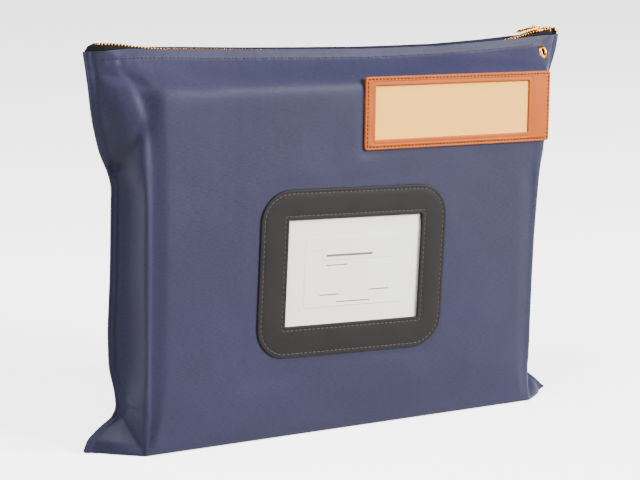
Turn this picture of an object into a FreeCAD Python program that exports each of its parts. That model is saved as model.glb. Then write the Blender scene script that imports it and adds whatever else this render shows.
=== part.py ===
"""Cash deposit bag: a standing, filled, zipped bag in coated nylon.

Frame: +X along the width (right when the labels are read), the front faces -Y, +Z up.
The origin is on the floor, under the middle of the base. Millimetres.
The front wall hangs on the fold along the front bottom edge; the zip slider runs along X.
"""
import math
import os

import FreeCAD
import Part
import Sketcher

Vector = FreeCAD.Vector
doc = FreeCAD.newDocument("cash_deposit_bag")

# ---------------------------------------------------------------- driving dimensions

SIZES = {
    # fabric shell
    "fabric": 0.8,
    "half_depth": 30.0,
    "half_front": 172.0,
    "slope_foot": 197.0,
    "roof_foot": 274.0,
    "shoulder_half": 176.0,
    "cheek_half": 181.0,
    "hem_foot": 292.0,
    "hem_top": 298.5,
    "hem_half_depth": 7.0,
    "flange_gap": 0.3,
    "flange_width": 4.0,
    "ear_half": 210.0,
    "neck_half": 182.0,
    "waist_half": 188.0,
    "mouth_half": 209.0,
    "gusset_gap": 0.6,
    "gusset_tip": 192.0,
    # zip
    "tape_left": -203.0,
    "tape_right": 209.0,
    "tape_fold_half": 192.0,
    "tape_level": 301.0,
    "tape_gauge": 0.8,
    "tape_edge": 1.35,
    "tape_outer": 6.0,
    "tape_drop": 13.0,
    "tooth_pitch": 2.6,
    "tooth_gauge": 1.0,
    "tooth_grip": 1.2,
    "tooth_rise": 0.9,
    "tooth_root": 1.2,
    "tooth_nose": 0.55,
    "chain_left": -196.0,
    "chain_right": 203.0,
    "spread": 1.5,
    "spread_start": 184.0,
    "spread_end": 190.0,
    "stop_length": 3.0,
    # slider
    "slider_centre": 188.0,
    "slider_half": 5.5,
    "slider_half_width": 4.7,
    "plate_gauge": 0.8,
    "plate_clearance": 0.2,
    "wedge_half": 0.6,
    "lip_gauge": 0.5,
    "wedge_length": 3.4,
    "bridge_half": 3.9,
    "bridge_bar": 0.8,
    "bridge_width": 2.0,
    "bridge_clear": 1.9,
    "tab_gauge": 1.0,
    "tab_length": 18.0,
    "tab_width": 7.4,
    "tab_eye_near": 0.5,
    "tab_eye_far": 4.9,
    "tab_eye_width": 3.2,
    "tab_hole_at": 13.6,
    "tab_hole_radius": 1.75,
    "tab_droop": 3.5,
    # seal eyelets
    "eyelet_side": 187.3,
    "eyelet_level": 286.0,
    "eyelet_bore": 2.5,
    "eyelet_barrel": 3.0,
    "eyelet_flange": 5.25,
    "eyelet_rise": 0.8,
    "eyelet_hole": 3.1,
    "washer_gauge": 0.4,
    "washer_radius": 4.7,
    # tan label
    "label_left": 8.5,
    "label_width": 172.0,
    "label_foot": 218.0,
    "label_rise": 56.0,
    "label_gauge": 1.0,
    "label_window_width": 142.0,
    "label_window_rise": 41.0,
    "label_window_left": 9.0,
    "label_window_foot": 7.6,
    "label_corner": 2.5,
    # address window
    "window_width": 165.0,
    "window_rise": 130.0,
    "window_foot": 61.0,
    "window_corner": 24.0,
    "opening_width": 118.0,
    "opening_rise": 82.0,
    "window_gauge": 1.3,
    "cut_margin": 5.0,
    "card_gauge": 0.3,
    "lining_margin": 14.0,
    "lining_gauge": 0.5,
    # thread
    "stitch_length": 2.6,
    "stitch_pitch": 3.8,
    "stitch_gauge": 0.5,
    "stitch_rise": 0.3,
    "edge_row": 3.2,
    "hem_row": 6.0,
}

sheet = doc.addObject("Spreadsheet::Sheet", "Sizes")
for row, (alias, value) in enumerate(SIZES.items(), start=1):
    sheet.set("A%d" % row, alias)
    sheet.set("B%d" % row, str(value))
    sheet.setAlias("B%d" % row, alias)
doc.recompute()


def size(alias):
    """The number that the sheet holds under this alias."""
    return float(sheet.get(alias))


SUB_PARTS = []


def keep(obj, label, placement=None):
    """Name a finished sub-part and put it in its place."""
    obj.Label = label
    if placement is not None:
        obj.Placement = placement
    SUB_PARTS.append(obj)
    return obj


# ---------------------------------------------------------------- sketch and feature helpers

def bound(expression):
    """An expression over the sheet: every word in it is an alias."""
    words = []
    for word in expression.split():
        words.append("Sizes." + word if word in SIZES else word)
    return " ".join(words)


def sketch_on(body, role, name, offset=None):
    """A sketch on one of the body's own origin planes, lifted by a bound offset."""
    sketch = body.newObject("Sketcher::SketchObject", name)
    plane = [f for f in body.Origin.OriginFeatures if f.Role == role][0]
    sketch.AttachmentSupport = (plane, [""])
    sketch.MapMode = "FlatFace"
    if offset is not None:
        sketch.setExpression("AttachmentOffset.Base.z", bound(offset))
    return sketch


def outline(sketch, corners):
    """A closed polygon whose corners are pairs of bound expressions."""
    first = sketch.GeometryCount
    count = len(corners)
    spots = [[doc_value(e) for e in corner] for corner in corners]
    for i, (start, end) in enumerate(zip(spots, spots[1:] + spots[:1])):
        sketch.addGeometry(Part.LineSegment(Vector(*start, 0), Vector(*end, 0)), False)
    for i in range(count):
        after = first + (i + 1) % count
        sketch.addConstraint(Sketcher.Constraint("Coincident", first + i, 2, after, 1))
    for i, (corner, spot) in enumerate(zip(corners, spots)):
        for kind, expression, value in zip(("DistanceX", "DistanceY"), corner, spot):
            row = sketch.addConstraint(Sketcher.Constraint(kind, -1, 1, first + i, 1, value))
            sketch.setExpression("Constraints[%d]" % row, bound(expression))


def doc_value(expression):
    """What a bound expression is worth now."""
    return float(sum_of_words(expression))


def sum_of_words(expression):
    """Sum of signed products, the only form used in the outlines: a + b * c - d."""
    total, sign, product, operator = 0.0, 1.0, None, None
    for word in expression.split():
        if word in "+-":
            if product is not None:
                total += sign * product
            sign = 1.0 if word == "+" else -1.0
            product, operator = None, None
        elif word in "*/":
            operator = word
        else:
            number = size(word) if word in SIZES else float(word)
            if operator == "*":
                product *= number
            elif operator == "/":
                product /= number
            else:
                product = number
    return total + sign * product


def box_outline(sketch, left, right, low, high):
    """A rectangle between bound left, right, low and high."""
    outline(sketch, [(left, low), (right, low), (right, high), (left, high)])


def circle(sketch, across, up, radius):
    """A circle with a bound centre and radius."""
    centre = Vector(doc_value(across), doc_value(up), 0)
    row = sketch.addGeometry(Part.Circle(centre, Vector(0, 0, 1), doc_value(radius)), False)
    for kind, expression in (("DistanceX", across), ("DistanceY", up)):
        value = doc_value(expression)
        place = sketch.addConstraint(Sketcher.Constraint(kind, -1, 1, row, 3, value))
        sketch.setExpression("Constraints[%d]" % place, bound(expression))
    place = sketch.addConstraint(Sketcher.Constraint("Radius", row, doc_value(radius)))
    sketch.setExpression("Constraints[%d]" % place, bound(radius))


def pad(body, sketch, length, reversed_way=False, midplane=False):
    """Pad a sketch by a bound length."""
    feature = body.newObject("PartDesign::Pad", sketch.Name + "_pad")
    feature.Profile = sketch
    feature.Length = doc_value(length)
    feature.setExpression("Length", bound(length))
    feature.Reversed = reversed_way
    feature.Midplane = midplane
    doc.recompute()
    return feature


def pocket_through(body, sketch):
    """Cut a sketch right through, and make sure that it took material away."""
    before = body.Shape.Volume
    feature = body.newObject("PartDesign::Pocket", sketch.Name + "_cut")
    feature.Profile = sketch
    feature.Type = 1
    feature.Midplane = True
    doc.recompute()
    if body.Shape.Volume > before - 1e-6:
        raise RuntimeError(sketch.Name + " cut nothing")
    return feature


def upright_edges(shape, direction, least):
    """Names of the straight edges along a direction that are on corners further out than least."""
    names = []
    for number, edge in enumerate(shape.Edges, start=1):
        if len(edge.Vertexes) != 2:
            continue
        along = edge.Vertexes[1].Point - edge.Vertexes[0].Point
        if along.Length > 1e-6 and along.normalize().cross(direction).Length < 1e-4:
            middle = edge.CenterOfMass
            if abs(middle.x) > least:
                names.append("Edge%d" % number)
    return names


def round_edges(body, base, names, radius):
    """Fillet the named edges by a bound radius."""
    feature = body.newObject("PartDesign::Fillet", base.Name + "_round")
    feature.Base = (base, names)
    feature.Radius = doc_value(radius)
    feature.setExpression("Radius", bound(radius))
    doc.recompute()
    return feature


# ---------------------------------------------------------------- fabric shell

def slope_angle():
    """Lean of the upper wall's ends, beside the seams, from the vertical, in radians."""
    inward = size("half_depth") - size("hem_half_depth")
    return math.atan2(inward, size("hem_foot") - size("slope_foot"))


def shoulder_depth(level):
    """Distance of the filled middle of the wall from the middle plane: upright, then a roof."""
    if level <= size("roof_foot"):
        return size("half_depth")
    part = (level - size("roof_foot")) / (size("hem_foot") - size("roof_foot"))
    return mix(size("half_depth"), size("hem_half_depth"), min(part, 1.0))


def wall_depth(level):
    """Distance of the wall's sloping ends, beside the seams, from the middle plane at a level."""
    if level <= size("slope_foot"):
        return size("half_depth")
    if level >= size("hem_foot"):
        return size("hem_half_depth")
    return size("half_depth") - (level - size("slope_foot")) * math.tan(slope_angle())


def mix(low, high, part):
    return low + (high - low) * part


def wall_sections():
    """Level, half width at the side crease and half width at the seam edge, floor to hem."""
    front, ear, neck = size("half_front"), size("ear_half"), size("neck_half")
    waist, mouth, foot = size("waist_half"), size("mouth_half"), size("slope_foot")
    top_crease = mouth - 11.0
    return [
        (0.0, front, ear),
        (11.0, front, mix(ear, neck, 0.1)),
        (17.0, front, mix(ear, neck, 0.4)),
        (24.0, front, mix(ear, neck, 0.9)),
        (32.0, front, neck),
        (45.0, front, mix(neck, waist, 0.5)),
        (90.0, front, waist + 2.0),
        (130.0, front, waist + 1.0),
        (foot, front, waist - 1.0),
        (foot + 26.0, mix(front, top_crease, 0.33), mix(waist, mouth, 0.42)),
        (foot + 50.0, mix(front, top_crease, 0.56), mix(waist, mouth, 0.66)),
        (size("roof_foot"), mix(front, top_crease, 0.82), mix(waist, mouth, 0.82)),
        (size("hem_foot"), top_crease, mouth - 1.0),
        (size("hem_top"), top_crease, mouth),
    ]


def offset_line(points, gap):
    """The polyline moved sideways by a gap, towards the inside of the bag, with mitred corners."""
    normals = []
    for start, end in zip(points, points[1:]):
        along = (end - start).normalize()
        normals.append(Vector(-along.y, along.x, 0))
    moved = [points[0] + normals[0] * gap]
    for before, after, point in zip(normals, normals[1:], points[1:-1]):
        middle = (before + after).normalize()
        moved.append(point + middle * (gap / middle.dot(after)))
    moved.append(points[-1] + normals[-1] * gap)
    return moved


def wall_wire(level, crease, edge):
    """One closed level section of the front wall."""
    face, full = -wall_depth(level), -shoulder_depth(level)
    seam = -(size("flange_gap") + size("fabric"))
    root = edge - size("flange_width")
    cheek = min(size("cheek_half"), crease - 1.0)
    half = [Vector(edge, seam, 0), Vector(root, seam, 0), Vector(crease, face, 0),
            Vector(cheek, face, 0), Vector(min(size("shoulder_half"), cheek - 1.0), full, 0)]
    outer = [Vector(-p.x, p.y, 0) for p in half] + half[::-1]
    inner = offset_line(outer, size("fabric"))
    loop = outer + inner[::-1]
    loop = [Vector(p.x, p.y, level) for p in loop]
    return Part.makePolygon(loop + loop[:1])


def wall_shell():
    """The folded front wall as one ruled solid through its level sections."""
    wires = [wall_wire(*section) for section in wall_sections()]
    return Part.makeLoft(wires, True, True)


def slope_placement(across, level):
    """Onto the outer face of the front wall's sloping end; local +Y points into the bag."""
    spot = Vector(across, -wall_depth(level), level)
    return FreeCAD.Placement(spot, FreeCAD.Rotation(Vector(1, 0, 0), -math.degrees(slope_angle())))


def drill(label, placement):
    """A cylinder that makes the eyelet hole in a wall; its axis is the local Y."""
    tool = doc.addObject("Part::Cylinder", label)
    tool.setExpression("Radius", bound("eyelet_hole"))
    tool.Height = 12.0
    turn = FreeCAD.Rotation(Vector(1, 0, 0), 90)
    tool.Placement = placement * FreeCAD.Placement(Vector(0, 6, 0), turn)
    return tool


def mirrored_placement(placement):
    """The same place on the back wall: mirrored in the middle plane."""
    lean = math.degrees(slope_angle())
    spot = Vector(placement.Base.x, -placement.Base.y, placement.Base.z)
    return FreeCAD.Placement(spot, FreeCAD.Rotation(Vector(1, 0, 0), lean + 180))


def fabric_walls():
    front_blank = doc.addObject("Part::Feature", "front_blank")
    front_blank.Shape = wall_shell()
    back_blank = doc.addObject("Part::Mirroring", "back_blank")
    back_blank.Source = front_blank
    back_blank.Base = Vector(0, 0, 0)
    back_blank.Normal = Vector(0, 1, 0)

    window = doc.addObject("Part::Box", "window_cut")
    window.setExpression("Length", bound("opening_width + 2 * cut_margin"))
    window.setExpression("Height", bound("opening_rise + 2 * cut_margin"))
    window.Width = 6.0
    side = (size("opening_width") + 2 * size("cut_margin")) / 2
    foot = opening_foot() - size("cut_margin")
    window.Placement.Base = Vector(-side, -size("half_depth") - 3.0, foot)

    seal = slope_placement(size("eyelet_side"), size("eyelet_level"))
    front_tools = doc.addObject("Part::MultiFuse", "front_tools")
    front_tools.Shapes = [window, drill("front_drill", seal)]
    front = doc.addObject("Part::Cut", "front_wall_cut")
    front.Base = front_blank
    front.Tool = front_tools
    keep(front, "front_panel")

    back = doc.addObject("Part::Cut", "back_wall_cut")
    back.Base = back_blank
    back.Tool = drill("back_drill", mirrored_placement(seal))
    keep(back, "back_panel")


def opening_foot():
    """Level of the lower edge of the address opening."""
    return size("window_foot") + (size("window_rise") - size("opening_rise")) / 2


def base_gusset():
    body = doc.addObject("PartDesign::Body", "gusset")
    sketch = sketch_on(body, "XY_Plane", "gusset_outline")
    deep = "half_depth - fabric - gusset_gap"
    minus_deep = "0 - half_depth + fabric + gusset_gap"
    side = "half_front - 2 * gusset_gap"
    minus_side = "0 - half_front + 2 * gusset_gap"
    outline(sketch, [(minus_side, minus_deep), (side, minus_deep), ("gusset_tip", "0"),
                     (side, deep), (minus_side, deep), ("0 - gusset_tip", "0")])
    pad(body, sketch, "fabric")
    keep(body, "base_gusset")


# ---------------------------------------------------------------- zip

def row_spread(across):
    """How far a row of teeth stands back from the closed line at this place along X."""
    part = (across - size("spread_start")) / (size("spread_end") - size("spread_start"))
    return size("spread") * min(max(part, 0.0), 1.0)


def zip_tape(label, way):
    """A flat strip beside the teeth and a flap that hangs inside the hem. way is -1 front, +1 back."""
    sign = "0 - " if way < 0 else "0 + "
    body = doc.addObject("PartDesign::Body", label + "_body")
    flat = sketch_on(body, "XY_Plane", label + "_flat", "tape_level")
    edge = sign + "tape_edge"
    open_edge = edge + (" - spread" if way < 0 else " + spread")
    outline(flat, [("tape_left", edge), ("spread_start", edge), ("spread_end", open_edge),
                   ("tape_right", open_edge), ("tape_right", sign + "tape_outer"),
                   ("tape_left", sign + "tape_outer")])
    pad(body, flat, "tape_gauge")
    flap = sketch_on(body, "XY_Plane", label + "_flap", "tape_level - tape_drop")
    near = sign + "tape_outer" + (" + tape_gauge" if way < 0 else " - tape_gauge")
    box_outline(flap, "0 - tape_fold_half", "tape_fold_half", near, sign + "tape_outer")
    pad(body, flap, "tape_drop")
    keep(body, label)


def tooth_profile(way, centre, gauge, rise_extra=0.0):
    """One tooth: a nose past the tape edge and two jaws that grip it. way is -1 front, +1 back."""
    low = size("tape_level") - size("tooth_rise") - rise_extra
    high = size("tape_level") + size("tape_gauge") + size("tooth_rise") + rise_extra
    under, over = size("tape_level"), size("tape_level") + size("tape_gauge")
    back = row_spread(centre)
    nose = size("tooth_nose") - back
    root = -size("tooth_root") - back
    jaw = root - size("tooth_grip")
    corners = [(nose, low + 0.5), (nose, high - 0.5), (nose - 0.5, high), (jaw, high), (jaw, over),
               (root, over), (root, under), (jaw, under), (jaw, low), (nose - 0.5, low)]
    points = [Vector(centre - gauge / 2, -way * y, z) for y, z in corners]
    return Part.Face(Part.makePolygon(points + points[:1])).extrude(Vector(gauge, 0, 0))


def zip_teeth(label, way, shift):
    """A row of separate teeth at an even pitch; the two rows are half a pitch apart."""
    pitch = size("tooth_pitch")
    count = int((size("chain_right") - size("chain_left")) / pitch)
    teeth = []
    for number in range(count):
        centre = size("chain_left") + (number + shift) * pitch
        teeth.append(tooth_profile(way, centre, size("tooth_gauge")))
    row = doc.addObject("Part::Feature", label + "_row")
    row.Shape = Part.makeCompound(teeth)
    keep(row, label)


def zip_stops():
    """A clip over both tapes at the left end and one on each tape at the right end."""
    length = size("stop_length")
    body = doc.addObject("PartDesign::Body", "bottom_stop")
    sketch = sketch_on(body, "YZ_Plane", "bottom_stop_section")
    wide, web = "tooth_root + tooth_grip", "tape_edge - 0.45"
    low, under = "tape_level - tooth_rise - 0.3", "tape_level - 0.3"
    over, high = "tape_level + tape_gauge + 0.3", "tape_level + tape_gauge + tooth_rise + 0.3"
    minus_wide, minus_web = "0 - tooth_root - tooth_grip", "0 - tape_edge + 0.45"
    outline(sketch, [(minus_wide, low), (wide, low), (wide, under), (web, under), (web, over),
                     (wide, over), (wide, high), (minus_wide, high), (minus_wide, over),
                     (minus_web, over), (minus_web, under), (minus_wide, under)])
    pad(body, sketch, "stop_length")
    left = size("chain_left") - length - 1.0
    keep(body, "zip_bottom_stop", FreeCAD.Placement(Vector(left, 0, 0), FreeCAD.Rotation()))
    for label, way in (("zip_top_stop_front", -1), ("zip_top_stop_back", 1)):
        clip = doc.addObject("Part::Feature", label + "_clip")
        clip.Shape = tooth_profile(way, size("chain_right") + length / 2 + 1.5, length, 0.25)
        keep(clip, label)


def plate_corners(half_width):
    """Outline of a slider plate: square at the nose and narrower at the tail."""
    nose, tail = "slider_half", "0 - slider_half"
    minus = "0 - " + half_width
    return [(tail, minus + " + 1.4"), ("0 - 2", minus), ("3", minus), (nose, minus + " + 0.8"),
            (nose, half_width + " - 0.8"), ("3", half_width), ("0 - 2", half_width),
            (tail, half_width + " - 1.4")]


def zip_slider():
    """Lower plate, upper plate with side lips, the wedge that parts the rows, and the bridge."""
    body = doc.addObject("PartDesign::Body", "slider")
    foot = "tape_level - tooth_rise - plate_clearance - plate_gauge"
    deck = "tape_level + tape_gauge + tooth_rise + plate_clearance"
    lower = sketch_on(body, "XY_Plane", "lower_plate", foot)
    outline(lower, plate_corners("slider_half_width"))
    pad(body, lower, "plate_gauge")
    wedge = sketch_on(body, "XY_Plane", "wedge", foot)
    start = "slider_half - wedge_length"
    outline(wedge, [(start, "0 - 0.2"), ("slider_half", "0 - wedge_half"),
                    ("slider_half", "wedge_half"), (start, "0.2")])
    rise = "2 * plate_gauge + 2 * plate_clearance + 2 * tooth_rise + tape_gauge"
    pad(body, wedge, rise)
    upper = sketch_on(body, "XY_Plane", "upper_plate", deck)
    outline(upper, plate_corners("slider_half_width"))
    pad(body, upper, "plate_gauge")
    for name, near, far in (("front_lip", "0 - slider_half_width", "0 - slider_half_width + lip_gauge"),
                            ("back_lip", "slider_half_width - lip_gauge", "slider_half_width")):
        lip = sketch_on(body, "XY_Plane", name, "tape_level + tape_gauge + 0.4")
        box_outline(lip, "0 - 2", "3", near, far)
        pad(body, lip, "tooth_rise")
    bridge = sketch_on(body, "XZ_Plane", "bridge")
    top = deck + " + plate_gauge"
    crown = top + " + bridge_clear + bridge_bar"
    under = top + " + bridge_clear"
    outline(bridge, [("0 - bridge_half", deck), ("0 - bridge_half", under),
                     ("0 - bridge_half + 0.8", crown), ("bridge_half - 0.8", crown),
                     ("bridge_half", under), ("bridge_half", deck),
                     ("bridge_half - bridge_bar", deck), ("bridge_half - bridge_bar", under),
                     ("0 - bridge_half + bridge_bar", under), ("0 - bridge_half + bridge_bar", deck)])
    pad(body, bridge, "bridge_width", midplane=True)
    keep(body, "zip_slider", FreeCAD.Placement(Vector(size("slider_centre"), 0, 0), FreeCAD.Rotation()))


def hinge_level():
    """Height of the pull tab's hinge line, in the middle of the space under the bridge."""
    deck = size("tape_level") + size("tape_gauge") + size("tooth_rise") + size("plate_clearance")
    return deck + size("plate_gauge") + size("bridge_clear") / 2


def zip_pull_tab():
    """A flat tab along local +X from the hinge line, with the eye for the bridge and the tip hole."""
    body = doc.addObject("PartDesign::Body", "pull_tab")
    sketch = sketch_on(body, "XY_Plane", "tab_outline")
    half, minus_half = "tab_width / 2", "0 - tab_width / 2"
    heel = "0 - tab_eye_near"
    outline(sketch, [(heel, "0 - tab_width / 2 + 1"), (heel + " + 0.9", minus_half),
                     ("tab_length - 2", minus_half), ("tab_length", "0 - tab_width / 2 + 2"),
                     ("tab_length", "tab_width / 2 - 2"), ("tab_length - 2", half),
                     (heel + " + 0.9", half), (heel, "tab_width / 2 - 1")])
    pad(body, sketch, "tab_gauge", midplane=True)
    eye = sketch_on(body, "XY_Plane", "tab_eye")
    box_outline(eye, "tab_eye_near", "tab_eye_far", "0 - tab_eye_width / 2", "tab_eye_width / 2")
    pocket_through(body, eye)
    hole = sketch_on(body, "XY_Plane", "tab_hole")
    circle(hole, "tab_hole_at", "0", "tab_hole_radius")
    pocket_through(body, hole)
    turn = FreeCAD.Rotation(Vector(0, 1, 0), 180 - size("tab_droop"))
    keep(body, "zip_pull_tab", FreeCAD.Placement(
        Vector(size("slider_centre"), 0, hinge_level()), turn))


# ---------------------------------------------------------------- seal eyelets

def turned(label, corners):
    """A ring turned about local Y from corners (radius, depth); the outside is towards -Y."""
    body = doc.addObject("PartDesign::Body", label + "_body")
    sketch = sketch_on(body, "XY_Plane", label + "_section")
    outline(sketch, corners)
    ring = body.newObject("PartDesign::Revolution", label + "_turn")
    ring.Profile = sketch
    ring.ReferenceAxis = (sketch, ["V_Axis"])
    ring.Angle = 360.0
    doc.recompute()
    return body


def eyelets():
    seal = slope_placement(size("eyelet_side"), size("eyelet_level"))
    for side, place in (("front", seal), ("back", mirrored_placement(seal))):
        lip, rim = "0 - eyelet_rise", "eyelet_flange"
        body = turned(side + "_eyelet", [
            ("eyelet_bore", "0 - eyelet_rise / 2"), ("eyelet_bore + 0.5", lip),
            (rim + " - 0.8", lip), (rim, "0 - eyelet_rise / 2"), (rim, "0"), ("eyelet_barrel", "0"),
            ("eyelet_barrel", "fabric + washer_gauge + 0.3"),
            ("eyelet_bore", "fabric + washer_gauge + 0.3")])
        keep(body, side + "_eyelet", place)
        washer = turned(side + "_washer", [
            ("eyelet_hole", "fabric"), ("washer_radius", "fabric"),
            ("washer_radius", "fabric + washer_gauge"), ("eyelet_hole", "fabric + washer_gauge")])
        keep(washer, side + "_eyelet_washer", place)


# ---------------------------------------------------------------- label and address window

def plate(label, left, right, low, high, gauge):
    """A flat sheet on the wall face; local Z is up the wall and it grows outwards, to -Y."""
    body = doc.addObject("PartDesign::Body", label + "_body")
    sketch = sketch_on(body, "XZ_Plane", label + "_outline")
    box_outline(sketch, left, right, low, high)
    return body, pad(body, sketch, gauge)


def frame(label, left, right, low, high, gauge, opening, corner):
    """A sheet with rounded corners and a rectangular opening."""
    body, base = plate(label, left, right, low, high, gauge)
    corners = upright_edges(base.Shape, Vector(0, 1, 0), 0.1)
    if left == "0":
        corners = upright_edges(base.Shape, Vector(0, 1, 0), -1.0)
    round_edges(body, base, corners, corner)
    window = sketch_on(body, "XZ_Plane", label + "_opening")
    box_outline(window, *opening)
    pocket_through(body, window)
    return body


def label_placement():
    """The lower left corner of the label on the outer face of the front wall."""
    spot = Vector(size("label_left"), -size("half_depth"), size("label_foot"))
    return FreeCAD.Placement(spot, FreeCAD.Rotation())


def tan_label():
    """Frame, film and card of the label on the upright face, from its lower left corner."""
    place = label_placement()
    left, low = "label_window_left", "label_window_foot"
    right = "label_window_left + label_window_width"
    high = "label_window_foot + label_window_rise"
    backing = 2 * size("card_gauge")
    body = frame("label_frame", "0", "label_width", "0", "label_rise", "label_gauge",
                 (left, right, low, high), "label_corner")
    keep(body, "label_frame", place * FreeCAD.Placement(Vector(0, -backing, 0), FreeCAD.Rotation()))
    around = [left + " - 4", right + " + 4", low + " - 4", high + " + 4"]
    for label, step in (("label_card", 0), ("label_film", 1)):
        sheet_body, _ = plate(label, *around, "card_gauge")
        lift = FreeCAD.Placement(Vector(0, -step * size("card_gauge"), 0), FreeCAD.Rotation())
        keep(sheet_body, label, place * lift)


def address_window():
    """Black frame on the wall, film and card in the wall's opening, lining on the inside."""
    half, minus_half = "opening_width / 2", "0 - opening_width / 2"
    side = FreeCAD.Rotation()
    face = -size("half_depth")
    edge = size("window_foot")
    low = "window_rise / 2 - opening_rise / 2"
    high = "window_rise / 2 + opening_rise / 2"
    body = frame("window_frame", "0 - window_width / 2", "window_width / 2", "0", "window_rise",
                 "window_gauge", (minus_half, half, low, high), "window_corner")
    keep(body, "window_frame", FreeCAD.Placement(Vector(0, face, edge), side))
    margin = "cut_margin - 0.5"
    around = [minus_half + " - cut_margin + 0.5", half + " + " + margin,
              low + " - cut_margin + 0.5", high + " + " + margin]
    film, _ = plate("window_film", *around, "card_gauge")
    keep(film, "window_film", FreeCAD.Placement(Vector(0, face + size("card_gauge"), edge), side))
    card, _ = plate("address_card", *around, "card_gauge")
    keep(card, "address_card", FreeCAD.Placement(
        Vector(0, face + 2 * size("card_gauge"), edge), side))
    broad = [minus_half + " - lining_margin", half + " + lining_margin",
             low + " - lining_margin", high + " + lining_margin"]
    lining, _ = plate("card_pocket_lining", *broad, "lining_gauge")
    inside = face + size("fabric") + size("lining_gauge")
    keep(lining, "card_pocket_lining", FreeCAD.Placement(Vector(0, inside, edge), side))


# ---------------------------------------------------------------- thread

def straight_row(start, end):
    """Middles and headings of evenly spaced stitches on a straight run in the wall's plane."""
    along = end - start
    count = max(int(along.Length / size("stitch_pitch")), 1)
    heading = math.degrees(math.atan2(along.y, along.x))
    return [(start + along * ((i + 0.5) / count), heading) for i in range(count)]


def rounded_row(left, right, low, high, radius):
    """Stitches round a rectangle with rounded corners."""
    stitches = []
    centres = [(right - radius, low + radius, -90), (right - radius, high - radius, 0),
               (left + radius, high - radius, 90), (left + radius, low + radius, 180)]
    for number, (across, up, start) in enumerate(centres):
        turns = int(radius * math.pi / 2 / size("stitch_pitch"))
        for i in range(turns):
            angle = math.radians(start + 90 * (i + 0.5) / turns)
            spot = Vector(across + radius * math.cos(angle), up + radius * math.sin(angle), 0)
            stitches.append((spot, math.degrees(angle) + 90))
        end = math.radians(start + 90)
        following = centres[(number + 1) % 4]
        offset = Vector(math.cos(end) * radius, math.sin(end) * radius, 0)
        stitches += straight_row(Vector(across, up, 0) + offset,
                                 Vector(following[0], following[1], 0) + offset)
    return stitches


def thread(label, stitches, place):
    """Separate stitches lying on a face; the row's plane coordinates are (across, up the wall)."""
    length, gauge, rise = size("stitch_length"), size("stitch_gauge"), size("stitch_rise")
    solids = []
    for spot, heading in stitches:
        solid = Part.makeBox(length, rise, gauge, Vector(-length / 2, -rise, -gauge / 2))
        solid.rotate(Vector(0, 0, 0), Vector(0, 1, 0), -heading)
        solid.translate(Vector(spot.x, 0, spot.y))
        solids.append(solid)
    row = doc.addObject("Part::Feature", label + "_thread")
    row.Shape = Part.makeCompound(solids)
    keep(row, label, place)


def all_thread():
    row = size("edge_row")
    lift = 2 * size("card_gauge") + size("label_gauge")
    place = label_placement() * FreeCAD.Placement(Vector(0, -lift, 0), FreeCAD.Rotation())
    wide, rise = size("label_width"), size("label_rise")
    thread("label_stitching", rounded_row(row, wide - row, row, rise - row, 2.0), place)

    face = -size("half_depth") - size("window_gauge")
    place = FreeCAD.Placement(Vector(0, face, size("window_foot")), FreeCAD.Rotation())
    half, rise = size("window_width") / 2, size("window_rise")
    corner = size("window_corner")
    thread("window_outer_stitching",
           rounded_row(-half + row, half - row, row, rise - row, corner - row), place)
    half, low = size("opening_width") / 2 + row, (rise - size("opening_rise")) / 2 - row
    thread("window_inner_stitching", rounded_row(-half, half, low, rise - low, 2.0), place)

    level = size("hem_top") - size("hem_row")
    side = wall_sections()[-1][1] - 4.0
    seal = size("eyelet_side") - size("eyelet_flange") - 2.0
    run = straight_row(Vector(-side, 0, 0), Vector(seal, 0, 0))
    depth = size("hem_half_depth")
    thread("front_hem_stitching", run,
           FreeCAD.Placement(Vector(0, -depth, level + 0.3), FreeCAD.Rotation()))
    flipped = FreeCAD.Rotation(Vector(0, 0, 1), 180)
    mirrored = [(Vector(-spot.x, spot.y, 0), heading) for spot, heading in run]
    thread("back_hem_stitching", mirrored,
           FreeCAD.Placement(Vector(0, depth, level + 0.3), flipped))


# ---------------------------------------------------------------- build, check and write

def build_all():
    fabric_walls()
    base_gusset()
    zip_tape("zip_tape_front", -1)
    zip_tape("zip_tape_back", 1)
    zip_teeth("zip_teeth_front", -1, 0.0)
    zip_teeth("zip_teeth_back", 1, 0.5)
    zip_stops()
    zip_slider()
    zip_pull_tab()
    eyelets()
    tan_label()
    address_window()
    all_thread()
    doc.recompute()


def check_and_write():
    for obj in doc.Objects:
        if "Invalid" in obj.State or "Error" in obj.State:
            raise RuntimeError("%s failed: %s" % (obj.Name, obj.State))
    for part in SUB_PARTS:
        if part.Shape.isNull() or not part.Shape.isValid():
            raise RuntimeError(part.Label + " has no valid shape")
    os.makedirs("parts", exist_ok=True)
    for part in SUB_PARTS:
        part.Shape.exportStep("parts/%s.step" % part.Label)
        print("%-24s %3d solids %10.1f mm3" % (part.Label, len(part.Shape.Solids), part.Shape.Volume))


build_all()
check_and_write()
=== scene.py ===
"""Looks of the cash deposit bag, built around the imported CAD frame.

The two fabric walls are grids lofted from level sections, smoothed like cloth, then shaped along
their normals with folds, hollows and small wrinkles. Everything sewn or clamped to a wall is placed
on that surface. Lengths are millimetres here, and metres when a mesh is made.
"""
import math

import bmesh
import bpy
import numpy as np
from mathutils import Matrix, Vector


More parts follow.
